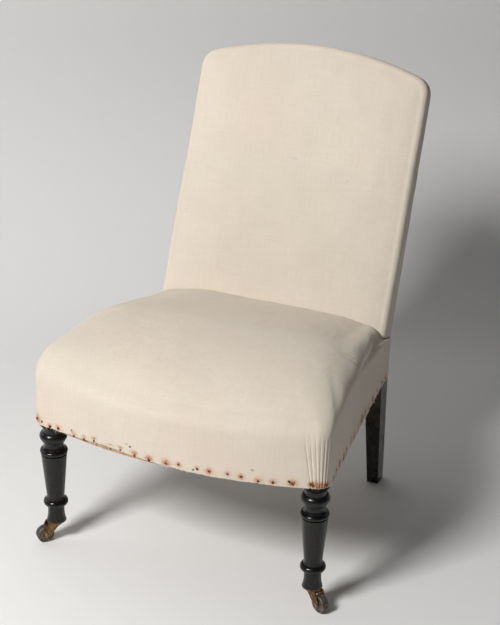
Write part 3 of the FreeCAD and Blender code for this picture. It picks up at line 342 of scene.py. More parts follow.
def woven(name, colour, dark, pitch, distance):
    """Coarse plain-woven cloth, such as webbing or hessian; the colour dark is painted shade in the gaps
    between the threads.
    """
    def tint(tree):
        fuzz = noisy(tree, coordinates(tree, "UV"), 300.0, 3.0)
        # Painted shade: the gaps between the threads are darkened towards the colour dark.
        painted_gap_shade = ramp(tree, weave_height(tree, pitch, 0.2), 0.15, 0.6)
        return mix(tree, painted_gap_shade, dark, mix(tree, fuzz, colour, tuple(c * 0.7 for c in colour)))
    return material(name, tint, 0.95, bump=lambda tree: weave_height(tree, pitch, 0.3), distance=distance)


def webbing_material():
    def tint(tree):
        stripes = wave(tree, coordinates(tree, "UV"), math.pi / 10 / 0.018, "Y")
        line = ramp(tree, stripes, 0.9, 0.97)
        fuzz = noisy(tree, coordinates(tree, "UV"), 260.0, 3.0)
        base = mix(tree, fuzz, JUTE, (0.3, 0.21, 0.12))
        base = mix(tree, times(tree, line, 0.6), base, (0.09, 0.07, 0.06))
        # Painted shade: the gaps between the threads are darkened.
        painted_gap_shade = ramp(tree, weave_height(tree, 0.0016, 0.2), 0.1, 0.45)
        return mix(tree, painted_gap_shade, (0.1, 0.07, 0.04), base)
    return material("webbing_jute", tint, 0.95, bump=lambda tree: weave_height(tree, 0.0016, 0.3),
                    distance=0.0006)


def ebonised():
    def tint(tree):
        grain = noisy(tree, coordinates(tree, scale=(60, 60, 6)), 1.0, 4.0, 0.6)
        base = mix(tree, ramp(tree, grain, 0.35, 0.75), (0.0035, 0.0034, 0.0036), (0.008, 0.0072, 0.0068))
        worn = node(tree, "ShaderNodeNewGeometry").outputs["Pointiness"]
        rubbed = ramp(tree, worn, 0.535, 0.6)
        patches = ramp(tree, cloudy(tree, 60.0, 4.0, 0.6), 0.42, 0.62)
        base = mix(tree, times(tree, times(tree, rubbed, patches), 0.4), base,
                   (0.06, 0.038, 0.024))
        height = node(tree, "ShaderNodeSeparateXYZ", {0: coordinates(tree)}).outputs[2]
        scuffed = times(tree, ramp(tree, height, 0.03, 0.0), patches)
        return mix(tree, times(tree, scuffed, 0.4), base, (0.05, 0.034, 0.024))

    def sheen(tree):
        smear = cloudy(tree, 34.0, 4.0, 0.6)
        return plus(tree, times(tree, ramp(tree, smear, 0.3, 0.7), 0.14), 0.2)

    def pores(tree):
        fine = noisy(tree, coordinates(tree, scale=(500, 500, 26)), 1.0, 3.0)
        dents = cloudy(tree, 90.0, 2.0)
        return plus(tree, times(tree, fine, 0.3), dents)

    return material("ebonised_wood", tint, sheen, bump=pores, distance=0.00025, Coat_Weight=0.25,
                    Coat_Roughness=0.08, Specular_IOR_Level=0.25)


def raw_wood(name, light, dark, scale):
    def grain(tree):
        place = coordinates(tree, scale=scale)
        rings = wave(tree, place, 1.3, "DIAGONAL", 5.0, "SAW")
        fibres = noisy(tree, place, 14.0, 5.0, 0.65)
        return plus(tree, times(tree, rings, 0.5), times(tree, fibres, 0.5))

    def tint(tree):
        base = mix(tree, ramp(tree, grain(tree), 0.25, 0.8), light, dark)
        dirt = ramp(tree, cloudy(tree, 12.0, 4.0, 0.6), 0.5, 0.8)
        return mix(tree, times(tree, dirt, 0.45), base, (0.16, 0.1, 0.06))

    return material(name, tint, 0.72, bump=grain, distance=0.0004)


def metal(name, light, dark, spots, roughness, metallic=1.0, scale=180.0):
    """Metal with tarnish and darker or rusty spots."""
    def tint(tree):
        base = mix(tree, ramp(tree, cloudy(tree, scale, 4.0, 0.6), 0.35, 0.68), light, dark)
        eaten = ramp(tree, cloudy(tree, scale * 1.7, 4.0, 0.65), 0.52, 0.62)
        return mix(tree, times(tree, eaten, 0.8), base, spots)

    def rough(tree):
        uneven = cloudy(tree, scale * 1.3, 4.0, 0.6)
        return plus(tree, times(tree, uneven, 0.35), roughness - 0.17)

    def pits(tree):
        return cloudy(tree, scale * 3, 4.0, 0.6)

    return material(name, tint, rough, metallic, pits, 0.0004)


def rusty(name):
    def tint(tree):
        base = mix(tree, ramp(tree, cloudy(tree, 420.0, 4.0, 0.6), 0.35, 0.7), RUST_DARK, (0.13, 0.05, 0.02))
        return mix(tree, ramp(tree, cloudy(tree, 800.0, 2.0), 0.52, 0.68), base, RUST)
    return material(name, tint, 0.85, 0.25, lambda tree: cloudy(tree, 1400.0, 3.0), 0.0005)


# Mesh helpers


def add(name, data):
    """New object in the scene."""
    made = bpy.data.objects.new(name, data)
    bpy.context.scene.collection.objects.link(made)
    return made


def make_object(name, points, faces, surface, uv=None, values=None):
    """Mesh object from points in millimetres; uv and values are given point by point."""
    mesh = bpy.data.meshes.new(name)
    mesh.from_pydata([tuple(p) for p in np.asarray(points, float) * MM], [], [tuple(f) for f in faces])
    if uv is not None:
        layer = mesh.uv_layers.new(name="UVMap")
        corners = np.zeros(len(mesh.loops), dtype=np.int64)
        mesh.loops.foreach_get("vertex_index", corners)
        layer.data.foreach_set("uv", (np.asarray(uv, float)[corners] * MM).ravel())
    for key, value in (values or {}).items():
        layer = mesh.attributes.new(key, "FLOAT", "POINT")
        layer.data.foreach_set("value", np.asarray(value, float))
    mesh.materials.append(surface)
    mesh.validate()
    mesh.update()
    mesh.shade_smooth()
    return add(name, mesh)


def apply_modifier(made, kind, **settings):
    modifier = made.modifiers.new(kind.title(), kind)
    for key, value in settings.items():
        setattr(modifier, key, value)
    bpy.context.view_layer.objects.active = made
    for other in bpy.context.selected_objects:
        other.select_set(False)
    made.select_set(True)
    bpy.ops.object.modifier_apply(modifier=modifier.name)


def thicken(made, thickness):
    """Give a sheet its thickness, inwards from its points."""
    apply_modifier(made, "SOLIDIFY", thickness=thickness * MM, offset=-1.0)


def grid_faces(rows, columns, wrap=False):
    faces = []
    for r in range(rows - 1):
        for c in range(columns if wrap else columns - 1):
            d = (c + 1) % columns
            faces.append((r * columns + c, r * columns + d, (r + 1) * columns + d, (r + 1) * columns + c))
    return faces


def tube_faces(start, rings, corners):
    """Faces round a stack of rings; start is the number of their first point."""
    return [tuple(start + i for i in face) for face in grid_faces(rings, corners, True)]


def grid_object(name, points, surface, uv, values=None, flip=False):
    """Object from a grid of points, rows by columns, with its UV and painted values point by point."""
    faces = grid_faces(points.shape[0], points.shape[1])
    if flip:
        faces = [face[::-1] for face in faces]
    values = {key: value.ravel() for key, value in (values or {}).items()}
    return make_object(name, points.reshape(-1, 3), faces, surface, uv.reshape(-1, 2), values)


def unpainted(points):
    return dict.fromkeys(PAINTED, np.zeros(points.shape[:2]))


def grid_normals(points):
    """Unit normals of a grid of points, rows by columns."""
    along = np.gradient(points, axis=1)
    up = np.gradient(points, axis=0)
    normals = np.cross(along, up)
    lengths = np.linalg.norm(normals, axis=2, keepdims=True)
    flat = lengths[..., 0] < 1e-6
    normals = normals / np.maximum(lengths, 1e-6)
    normals[flat] = (0.0, 0.0, 1.0)
    return normals


def grid_lengths(points):
    """Distances along the rows from the middle column, and up the columns, as a cloth's own UV."""
    steps = np.linalg.norm(np.diff(points, axis=1), axis=2)
    u = np.concatenate([np.zeros((points.shape[0], 1)), np.cumsum(steps, axis=1)], axis=1)
    u -= u[:, points.shape[1] // 2][:, None]
    rises = np.linalg.norm(np.diff(points, axis=0), axis=2)
    v = np.concatenate([np.zeros((1, points.shape[1])), np.cumsum(rises, axis=0)], axis=0)
    return np.stack([np.broadcast_to(u[0], u.shape), v], axis=2)


def wobble(points, size, amount, seed):
    """Smooth random heights, one for each point of a grid; size is the bumps' width."""
    flat = points.reshape(-1, 3) / size
    shift = Vector((seed * 13.7, seed * 7.1, seed * 3.3))
    heights = np.array([noise.noise(Vector(p) + shift) for p in flat])
    return heights.reshape(points.shape[:-1]) * amount


def smoothstep(value, low, high):
    t = np.clip((value - low) / (high - low), 0.0, 1.0)
    return t * t * (3 - 2 * t)


def hill(value, width):
    """Smooth bump, 1 where the value is 0."""
    return np.exp(-(value / width) ** 2)


# Seat outline in plan


def side_circle():
    front = np.array([FRONT_HALF_WIDTH, FRONT_LEG_Y])
    rear = np.array([REAR_HALF_WIDTH, SEAT_REAR_Y])
    chord = rear - front
    half = np.linalg.norm(chord) / 2
    radius = (half * half + SIDE_HOLLOW * SIDE_HOLLOW) / (2 * SIDE_HOLLOW)
    outward = np.array([chord[1], -chord[0]]) / np.linalg.norm(chord)
    return (front + rear) / 2 + outward * (radius - SIDE_HOLLOW), radius


SIDE_CENTRE, SIDE_RADIUS = side_circle()


def side_x(y, inset):
    return SIDE_CENTRE[0] - np.sqrt((SIDE_RADIUS + inset) ** 2 - (y - SIDE_CENTRE[1]) ** 2)


def front_y(x, inset):
    return FRONT_BOW_CENTRE_Y - np.sqrt((FRONT_BOW_RADIUS - inset) ** 2 - x ** 2)


def half_outline(front_in, side_in, radius, rear_y):
    """Right half of the outline, from the middle of the front round the corner to the rear."""
    front_centre = np.array([0.0, FRONT_BOW_CENTRE_Y])
    front_reach = FRONT_BOW_RADIUS - front_in - radius
    side_reach = SIDE_RADIUS + side_in + radius
    between = SIDE_CENTRE - front_centre
    span = np.linalg.norm(between)
    along = (front_reach ** 2 - side_reach ** 2 + span ** 2) / (2 * span)
    across = math.sqrt(front_reach ** 2 - along ** 2)
    unit = between / span
    centre = front_centre + unit * along + np.array([unit[1], -unit[0]]) * across
    to_front = (centre - front_centre) / np.linalg.norm(centre - front_centre)
    to_side = (SIDE_CENTRE - centre) / np.linalg.norm(SIDE_CENTRE - centre)
    front_angle = math.atan2(to_front[0], -to_front[1])
    side_angle = math.atan2(to_side[0], -to_side[1])
    share = np.sin(np.linspace(0, math.pi / 2, FRONT_COLUMNS))
    angle = share * front_angle
    reach = FRONT_BOW_RADIUS - front_in
    parts = [np.stack([reach * np.sin(angle), FRONT_BOW_CENTRE_Y - reach * np.cos(angle)], axis=1)]
    angle = np.linspace(front_angle, side_angle, CORNER_COLUMNS + 1)[1:]
    parts.append(np.stack([centre[0] + radius * np.sin(angle), centre[1] - radius * np.cos(angle)], axis=1))
    start_y = centre[1] + to_side[1] * radius
    share = 1 - np.cos(np.linspace(0, math.pi / 2, SIDE_COLUMNS + 1)[1:])
    y = start_y + share * (rear_y - start_y)
    parts.append(np.stack([side_x(y, side_in), y], axis=1))
    return np.concatenate(parts)


def mirrored(half):
    """Whole outline from its right half, which starts on the middle line."""
    return np.concatenate([half[:0:-1] * np.array([-1.0, 1.0]), half])


def outline(front_in, side_in, radius, rear_y):
    """Whole outline from the left rear round the front to the right rear."""
    return mirrored(half_outline(front_in, side_in, radius, rear_y))


def crown(z, share, y):
    """Height of a section at y: it falls from the crown to the front and to the back."""
    ahead = np.maximum(CROWN_PEAK_Y - y, 0) / (CROWN_PEAK_Y - SEAT_FRONT_Y)
    behind = np.maximum(y - CROWN_PEAK_Y, 0)
    rear_fall = CROWN_FALL_REAR * (np.sqrt(behind ** 2 + CROWN_REAR_EASE ** 2) - CROWN_REAR_EASE)
    return z - share * (CROWN_FALL_FRONT * ahead ** 2.2 + rear_fall)


def seat_sections(hem_rows):
    """Sections from the hem to the crown: front and side inset, corner radius, height, crown share."""
    rows = [(0.0, 0.0, SEAT_CORNER_RADIUS, z, 0.0) for z in hem_rows]
    for i in range(DOME_ROWS + 1):
        turn = math.pi / 2 * i / DOME_ROWS
        rise = math.sin(turn) ** (2 / DOME_FRONT_POWER)
        front = DOME_IN_FRONT * (1 - max(math.cos(turn), 0) ** (2 / DOME_FRONT_POWER))
        side = DOME_IN_SIDE * (1 - max(1 - rise ** DOME_SIDE_POWER, 0) ** (1 / DOME_SIDE_POWER))
        room = 0.8 * (REAR_HALF_WIDTH + 20 - side)
        wanted = SEAT_CORNER_RADIUS + CORNER_OPENING * side
        radius = (wanted ** -4 + room ** -4) ** -0.25
        rows.append((front, side, radius, SHOULDER_FOOT_Z + DOME_RISE * rise, min(rise * 1.6, 1.0)))
    return rows


def seat_surface(grow, hem_rows):
    """Grid of points over the seat, from the hem to the line along the middle of the crown."""
    rows = []
    for front_in, side_in, radius, z, share in seat_sections(hem_rows):
        plan = outline(front_in - grow, side_in - grow, radius + grow, SOFT_REAR_Y)
        height = crown(z + grow * share, share, plan[:, 1])
        rows.append(np.column_stack([plan, height]))
    last = rows[-1]
    spine_front = last[:, 1].min() + 60
    spine = np.column_stack([np.zeros(len(last)), np.maximum(last[:, 1], spine_front)])
    for i in range(1, SPINE_ROWS + 1):
        way = i / SPINE_ROWS
        plan = last[:, :2] * (1 - way) + spine * way
        z = SHOULDER_FOOT_Z + DOME_RISE + grow
        rows.append(np.column_stack([plan, crown(z, 1.0, plan[:, 1])]))
    points = np.array(rows)
    x, y, z = points[..., 0], points[..., 1], points[..., 2]
    along = hill(y - SIDE_SINK_Y, SIDE_SINK_REACH)
    points[..., 2] = z - SIDE_SINK * along * smoothstep(np.abs(x), 110, 225) * smoothstep(z, 288, 332)
    return points


def laid_flat(points, outward):
    """UV of cloth laid over the top and turned down round the edge, in the direction outward."""
    steps = np.diff(points, axis=0)
    extra = np.linalg.norm(steps, axis=2) - np.linalg.norm(steps[..., :2], axis=2)
    down = np.concatenate([np.cumsum(extra[::-1], axis=0)[::-1], np.zeros((1, points.shape[1]))], axis=0)
    return points[..., :2] + outward[None, :, :] * down[..., None]


# Raked back


def back_place(x, s, n):
    y = BACK_FOOT_Y + s * RAKE_SIN - n * RAKE_COS
    z = BACK_LIFT + s * RAKE_COS + n * RAKE_SIN
    return np.stack(np.broadcast_arrays(x, y, z), axis=-1)


def rear_n(s):
    return (BACK_THICKNESS_LOW - BACK_THICKNESS_TOP) / BACK_HEIGHT * s - BACK_THICKNESS_LOW


def back_front(inset):
    """Depth of the padded front at a distance in from the back's edge."""
    edge = np.clip(inset / BACK_EDGE_IN, 0, 1)
    rounded = BACK_EDGE_FOOT + BACK_EDGE_RISE * np.sqrt(1 - (1 - edge) ** 2)
    way = np.clip((inset - BACK_EDGE_IN) / (BACK_CROWN_IN - BACK_EDGE_IN), 0, 1)
    return rounded + BACK_CROWN_RISE * (1 - (1 - way) ** 3)


def tuck_against_back(points):
    """Turn the seat's rear edge down along the padded face of the back."""
    for _ in range(3):
        x, y, z = points[..., 0], points[..., 1], points[..., 2]
        inset = np.maximum(BACK_HALF_WIDTH - np.abs(x), 0)
        n = back_front(inset) + 1.0
        s = (z - BACK_LIFT - n * RAKE_SIN) / RAKE_COS
        face = BACK_FOOT_Y + s * RAKE_SIN - n * RAKE_COS
        inside = smoothstep(BACK_HALF_WIDTH + 3 - np.abs(x), 0, 5) * smoothstep(z, 312, 322)
        over = np.maximum(y - face, 0) * inside
        points[..., 1] = y - over
        points[..., 2] = z - over * 0.55
    return points


# Seat cover


def hem_distance(points):
    """Distance round the hem from the middle of the front, positive to the right."""
    steps = np.linalg.norm(np.diff(points[0], axis=0), axis=1)
    run = np.concatenate([[0], np.cumsum(steps)])
    return run - run[len(run) // 2]


def seat_tack_places(run, rng):
    """Places of the tacks along the hem: distance round it, and height."""
    places = []
    limit = run[-1] - 18
    count = int(limit / TACK_PITCH)
    for i in range(-count, count + 1):
        at = i * TACK_PITCH + rng.uniform(-5, 5)
        size = rng.uniform(0.6, 1.0) if abs(at) < FRONT_HALF_WIDTH + 20 else rng.uniform(0.4, 0.65)
        places.append((at, TACK_Z + rng.uniform(-3.2, 2.5), size))
    return places


def on_hem(points, run, at, z):
    """Point and outward direction on the upright side of the cover."""
    row = points[0]
    x = np.interp(at, run, row[:, 0])
    y = np.interp(at, run, row[:, 1])
    ahead = np.array([np.interp(at + 1, run, row[:, 0]) - x, np.interp(at + 1, run, row[:, 1]) - y])
    out = np.array([ahead[1], -ahead[0], 0.0])
    return np.array([x, y, z]), out / np.linalg.norm(out)


def pleats(run, z, corner, rng, count, start, pitch, depth, top):
    """Sharp folds that fan upwards from the foot of a corner."""
    push = np.zeros_like(z)
    for k in range(count):
        foot = corner + start + k * pitch + rng.uniform(-0.8, 0.8)
        lean = (k - count / 2) * 0.035 + rng.uniform(-0.01, 0.01)
        line = foot + lean * (z - RAIL_BOTTOM)
        fade = 1 - smoothstep(z, top - 34 + rng.uniform(-10, 8), top + rng.uniform(-12, 10))
        away = run[None, :] - line
        valley = -hill(away, 1.0)
        ridge = 0.3 * hill(away - pitch * 0.42, 1.8)
        push += depth * rng.uniform(0.6, 1.0) * fade * (valley + ridge)
    return push


def share_along_side(run, corner):
    """0 at the front corners and 1 at the rear ends of the hem."""
    return np.clip((np.abs(run) - corner - 8) / 345.0, 0, 1)


def side_roll(run, corner, x, y, z):
    """Roll along the top of each side, with a hollow crease below it."""
    along_side = share_along_side(run, corner)
    crease_z = ROLL_FRONT_Z + ROLL_RISE * np.sin(math.pi * along_side) ** 0.7 + 3 * np.sin(run / 23.0)
    over = z - crease_z
    roll = np.sqrt(np.clip(over / 9.0, 0, 1)) * (1 - smoothstep(over, 14, 46))
    hollow = -1.6 * hill(over + 3, 5.0)
    near_side = (1 - smoothstep(side_x(y, 0) - np.abs(x), 14, 46)) * smoothstep(along_side, 0.0, 0.16)
    return (ROLL_OUT * roll + hollow) * near_side * (1 - smoothstep(y, SEAT_REAR_Y - 30, SEAT_REAR_Y))


def drag_lines(x, y, z):
    """Shallow creases where the cloth is pulled over the right of the crown."""
    push = np.zeros_like(z)
    for k in range(6):
        aside = x - (228.0 - 3.5 * k)
        ahead = y - (FRONT_LEG_Y + 170 + 13 * k)
        away = ahead * 0.85 - aside * 0.5
        reach = np.hypot(aside, ahead)
        push -= hill(away, 2.2) * hill(reach, 22.0) * smoothstep(z, 330, 350)
    return push


def press_tacks(points, run, corner, tacks, rng, push):
    """Dent the push round each tack, and give the rust round the tacks and at the corners."""
    low = points[:TACKED_ROWS]
    rust = np.zeros(points.shape[:2])
    for at, height, _ in tacks:
        reach = np.linalg.norm(low - on_hem(points, run, at, height)[0], axis=2)
        push[:TACKED_ROWS] -= 0.9 * hill(reach, 3.4)
        push[:TACKED_ROWS] += 0.35 * hill(reach - 7, 3.0)
        spread = 4.2 + 4.0 * rng.random()
        rust[:TACKED_ROWS] += (0.4 + 0.7 * rng.random()) * hill(reach, spread)
    for side, past, height, spread, strength in CORNER_STAINS:
        reach = np.linalg.norm(low - on_hem(points, run, side * corner + past, height)[0], axis=2)
        rust[:TACKED_ROWS] += strength * hill(reach, spread)
    return np.clip(rust, 0, 1)


def line_noise(run, size, second, third=0.0):
    """Smooth random values along the hem."""
    return np.array([noise.noise(Vector((at / size, second, third))) for at in run])


def hem_shift(run, corner):
    """How far the hem rises: it is wavy, lifts along the front and sags along the sides."""
    wavy = line_noise(run, 27.0, 4.2) * 1.4 + line_noise(run, 6.0, 9.0)
    lift = FRONT_HEM_LIFT * hill(run + 110, 95.0)
    return wavy + lift - SIDE_HEM_DROP * np.sin(math.pi * share_along_side(run, corner)) ** 0.8


def seat_cover(surface):
    """Calico over the seat, with its pleated corners, tacked wavy hem and stains."""
    rng = random.Random(11)
    low_rows = list(np.arange(RAIL_BOTTOM, FINE_HEM_TOP, FINE_HEM_STEP))
    hem_rows = low_rows + list(np.linspace(FINE_HEM_TOP + 1, SHOULDER_FOOT_Z, 17))[:-1]
    points = seat_surface(COVER_OUT, hem_rows)
    run = hem_distance(points)
    tacks = seat_tack_places(run, rng)
    corner = float(run[len(run) // 2 + FRONT_COLUMNS + CORNER_COLUMNS // 2])
    x, y, z = (points[..., i].copy() for i in range(3))
    row = np.arange(points.shape[0])[:, None]
    upright = row < len(hem_rows) + DOME_ROWS // 2
    push = np.where(upright, pleats(run, z, corner, rng, **RIGHT_PLEATS), 0)
    push += np.where(upright, pleats(run, z, -corner, rng, **LEFT_PLEATS), 0)
    push += wobble(points, 120.0, 1.5, 1) * smoothstep(z, 300, 345)
    push += wobble(points, 38.0, 0.45, 2)
    push += wobble(points, 14.0, 0.2, 3)
    strain = wobble(points * np.array([1.0, 1.0, 0.25]), 16.0, 0.8, 4)
    push += strain * (1 - smoothstep(z, 232, 275)) * (row < len(hem_rows))
    push += LEFT_CORNER_FULL * hill(run + corner, 34.0) * (1 - smoothstep(z, 345, 375))
    rear_folds = smoothstep(y, SEAT_REAR_Y - 34, SEAT_REAR_Y) * smoothstep(np.abs(x), 180, 205)
    push += wobble(points * np.array([1.0, 0.5, 1.6]), 13.0, 1.8, 6) * rear_folds * smoothstep(z, 285, 320)
    push += drag_lines(x, y, z)
    push += side_roll(run, corner, x, y, z)
    rust = press_tacks(points, run, corner, tacks, rng, push)
    points = points + grid_normals(points) * push[..., None]
    at_hem = (1 - smoothstep(z, RAIL_BOTTOM, RAIL_BOTTOM + 26)) * (row < len(low_rows) + 2)
    points[..., 2] += hem_shift(run, corner) * at_hem
    points = tuck_against_back(points)
    turn = np.clip((np.abs(run) - corner + 16) / 32.0, 0, 1) * math.pi / 2
    uv = laid_flat(points, np.column_stack([np.sign(run) * np.sin(turn), -np.cos(turn)]))
    on_front = np.abs(run) <= corner + 12
    ragged = RAIL_BOTTOM + 2.4 + 1.2 * line_noise(run, 3.0, 1.0, 5.0)
    values = {"rust": rust,
              "low": (1 - smoothstep(z, 236, 330)) * (0.6 + 0.4 * np.sin(run / 60.0)),
              "band": smoothstep(z, 231, 234) * (1 - smoothstep(z, 244, 256)) * on_front,
              "frayed": 0.8 * (1 - smoothstep(z, RAIL_BOTTOM, ragged)) * (row < 4)}
    made = grid_object("seat_cushion", points, surface, uv, values)
    weld(made)
    thicken(made, CLOTH)
    return made, points, run, tacks


def weld(made):
    """Join the two halves where they meet along the crown."""
    apply_modifier(made, "WELD", merge_threshold=0.00005)


# Tacks and frayed threads


def tack_head(rng, place, out, radius, points, faces):
    """Bent, rusted tack head: a low dome with an uneven rim."""
    side = np.cross(out, [0.0, 0.0, 1.0])
    side /= np.linalg.norm(side)
    up = np.cross(side, out)
    tilt = side * rng.uniform(-0.2, 0.2) + up * rng.uniform(-0.2, 0.2)
    out = (out + tilt) / np.linalg.norm(out + tilt)
    start = len(points)
    wobbles = [rng.uniform(0.88, 1.08) for _ in range(HEAD_CORNERS)]
    for size, lift in HEAD_RINGS:
        for c in range(HEAD_CORNERS):
            angle = 2 * math.pi * c / HEAD_CORNERS
            ray = side * math.cos(angle) + up * math.sin(angle)
            points.append(place + ray * radius * size * wobbles[c] + out * lift * radius / 3)
    points.append(place + out * radius / 3 * 1.2)
    points.append(place - out * radius / 2)
    faces += tube_faces(start, len(HEAD_RINGS), HEAD_CORNERS)
    top = start + len(HEAD_RINGS) * HEAD_CORNERS
    for c in range(HEAD_CORNERS):
        d = (c + 1) % HEAD_CORNERS
        faces.append((top - HEAD_CORNERS + c, top - HEAD_CORNERS + d, top))
        faces.append((start + d, start + c, top + 1))


def seat_tack_heads(surface, points, run, tacks):
    rng = random.Random(5)
    verts = []
    faces = []
    for at, height, size in tacks:
        place, out = on_hem(points, run, at, height)
        tack_head(rng, place + out * 0.2, out, SEAT_HEAD_RADIUS * size, verts, faces)
    return make_object("seat_tack_heads", verts, faces, surface)


def back_tack_heads(surface):
    rng = random.Random(6)
    verts = []
    faces = []
    out = np.array([0.0, RAKE_COS, -RAKE_SIN])
    x = BACK_HALF_WIDTH - 2.5 - 13.5
    places = []
    for i in range(int((BACK_HEIGHT - 62) / BACK_TACK_PITCH)):
        s = 6 + i * BACK_TACK_PITCH + rng.uniform(-3, 3)
        for side in (LEFT, RIGHT):
            places.append((side * x, s))
    count = int(x / BACK_TACK_PITCH)
    for i in range(-count, count + 1):
        crest_x = i * BACK_TACK_PITCH + rng.uniform(-3, 3)
        drop = BACK_ARCH_RADIUS - math.sqrt(BACK_ARCH_RADIUS ** 2 - crest_x ** 2)
        places.append((crest_x, BACK_HEIGHT - drop - 14))
    for px, s in places:
        tack_head(rng, back_place(px, s, rear_n(s)) + out * 0.3, out, BACK_HEAD_RADIUS, verts, faces)
    for i in range(-count, count + 1):
        place = outside_point(i * BACK_TACK_PITCH + rng.uniform(-3, 3), RAIL_BOTTOM + 7)
        tack_head(rng, place, np.array([0.0, 1.0, 0.0]), BACK_HEAD_RADIUS, verts, faces)
    return make_object("back_tack_heads", verts, faces, surface)


def frayed_threads(surface, points, run):
    """Loose thread ends along the cut edge of the cover."""
    rng = random.Random(8)
    verts = []
    faces = []
    for _ in range(THREADS):
        at = rng.uniform(run[0] + 4, run[-1] - 4)
        place, out = on_hem(points, run, at, 0)
        place[2] = np.interp(at, run, points[0][:, 2]) + 0.6
        side = np.array([-out[1], out[0], 0.0])
        length = rng.uniform(1.0, 3.4) if rng.random() < 0.82 else rng.uniform(3.5, 8.0)
        lean = rng.uniform(-0.8, 0.8)
        curl = rng.uniform(-0.7, 0.7)
        spring = rng.uniform(-0.05, 0.35)
        radius = rng.uniform(0.14, 0.24)
        start = len(verts)
        for i in range(THREAD_STEPS + 1):
            t = i / THREAD_STEPS
            middle = place + np.array([0, 0, -length * t]) + side * length * (lean * t + curl * t * t)
            middle = middle + out * (length * spring * t * t - 0.5)
            for c in range(3):
                angle = 2 * math.pi * c / 3
                ray = side * math.cos(angle) + out * math.sin(angle)
                verts.append(middle + ray * radius * (1 - 0.6 * t))
        faces += tube_faces(start, THREAD_STEPS + 1, 3)
        last = start + THREAD_STEPS * 3
        faces.append((start + 2, start + 1, start))
        faces.append((last, last + 1, last + 2))
    return make_object("seat_hem_threads", verts, faces, surface)


# Back cover


def back_outline(inset, radius, base):
    """Outline of the back from the left foot over the arch to the right foot, as x and s."""
    half = BACK_HALF_WIDTH - inset
    arch = BACK_ARCH_RADIUS - inset
    corner_s = ARCH_CENTRE + math.sqrt((arch - radius) ** 2 - (half - radius) ** 2)
    corner = np.array([half - radius, corner_s])
    out = corner - np.array([0, ARCH_CENTRE])
    lean = math.atan2(out[0], out[1])
    top = np.sin(np.linspace(0, math.pi / 2, 90)) * lean
    parts = [np.stack([arch * np.sin(top), ARCH_CENTRE + arch * np.cos(top)], axis=1)]
    angle = np.linspace(lean, math.pi / 2, 30)[1:]
    parts.append(np.stack([corner[0] + radius * np.sin(angle), corner[1] + radius * np.cos(angle)], axis=1))
    s = corner_s + (base - corner_s) * (1 - np.cos(np.linspace(0, math.pi / 2, 110)[1:]))
    parts.append(np.stack([np.full_like(s, half), s], axis=1))
    return mirrored(np.concatenate(parts))


def back_crown(x, s):
    """Depth of the padded front at a place inside its rounded edge, easy across the corners."""
    in_side = BACK_HALF_WIDTH - np.abs(x)
    in_top = BACK_ARCH_RADIUS - np.hypot(x, s - ARCH_CENTRE)
    span = BACK_CROWN_IN - BACK_EDGE_IN
    across = np.maximum(in_side - BACK_EDGE_IN, 0.01) / span
    up = np.maximum(in_top - BACK_EDGE_IN, 0.01) / span
    way = np.minimum((across ** -2.5 + up ** -2.5) ** -0.4, 1.0)
    return BACK_EDGE_FOOT + BACK_EDGE_RISE + BACK_CROWN_RISE * (1 - (1 - way) ** 3)


def back_cover(surface):
    """Calico over the back: turned in behind, round the edge and over the crown."""
    rows = []
    for inset in (9.0, 6.0, 3.0, 1.0):
        plan = back_outline(inset, BACK_CORNER_RADIUS - inset * 0.5, BACK_BASE)
        rows.append((plan, rear_n(plan[:, 1]) + 0.8))
    for share in np.linspace(0.03, 1, BACK_EDGE_ROWS):
        plan = back_outline(-0.5 * math.sin(share * math.pi), BACK_CORNER_RADIUS, BACK_BASE)
        rows.append((plan, (rear_n(plan[:, 1]) + 1.2) * (1 - share) + BACK_EDGE_FOOT * share))
    behind = len(rows)
    for i in range(1, BACK_EDGE_ROWS + 1):
        turn = math.pi / 2 * i / BACK_EDGE_ROWS
        plan = back_outline(BACK_EDGE_IN * (1 - math.cos(turn)), BACK_CORNER_RADIUS, BACK_BASE)
        rows.append((plan, np.full(len(plan), BACK_EDGE_FOOT + BACK_EDGE_RISE * math.sin(turn))))
    for i in range(1, BACK_CROWN_ROWS + 1):
        way = i / BACK_CROWN_ROWS
        inset = BACK_EDGE_IN + (BACK_CROWN_IN - BACK_EDGE_IN) * way
        radius = BACK_CORNER_RADIUS + (BACK_CROWN_CORNER_RADIUS - BACK_CORNER_RADIUS) * way
        plan = back_outline(inset, radius, BACK_BASE)
        rows.append((plan, back_crown(plan[:, 0], plan[:, 1])))
    last = rows[-1][0]
    spine = np.column_stack([np.zeros(len(last)), np.minimum(last[:, 1], last[:, 1].max() - 70)])
    for i in range(1, SPINE_ROWS + 1):
        plan = last * (1 - i / SPINE_ROWS) + spine * (i / SPINE_ROWS)
        rows.append((plan, back_crown(plan[:, 0], plan[:, 1])))
    flat = np.array([np.column_stack(row) for row in rows])
    low_down = 1 - 0.75 * smoothstep(flat[..., 1], 20, 460)
    flat[..., 0] -= BACK_LEFT_BULGE * smoothstep(-flat[..., 0], 120, BACK_HALF_WIDTH) * low_down
    points = back_place(flat[..., 0], flat[..., 1], flat[..., 2])
    face = np.arange(points.shape[0])[:, None] > behind
    push = wobble(points, 150.0, 1.6, 21) * face
    push += wobble(points, 45.0, 0.5, 22)
    push += wobble(points, 15.0, 0.2, 23)
    push += wobble(points * np.array([1.0, 0.2, 0.2]), 26.0, 0.4, 24) * face
    points = points + grid_normals(points) * push[..., None]
    uv = flat[..., :2].copy()
    uv[:behind] *= 1 - (flat[:behind, :, 2:3] - BACK_EDGE_FOOT) / 240
    made = grid_object("back_cushion", points, surface, uv, unpainted(points))
    weld(made)
    thicken(made, CLOTH)
    return made


# Closed pads under the covers


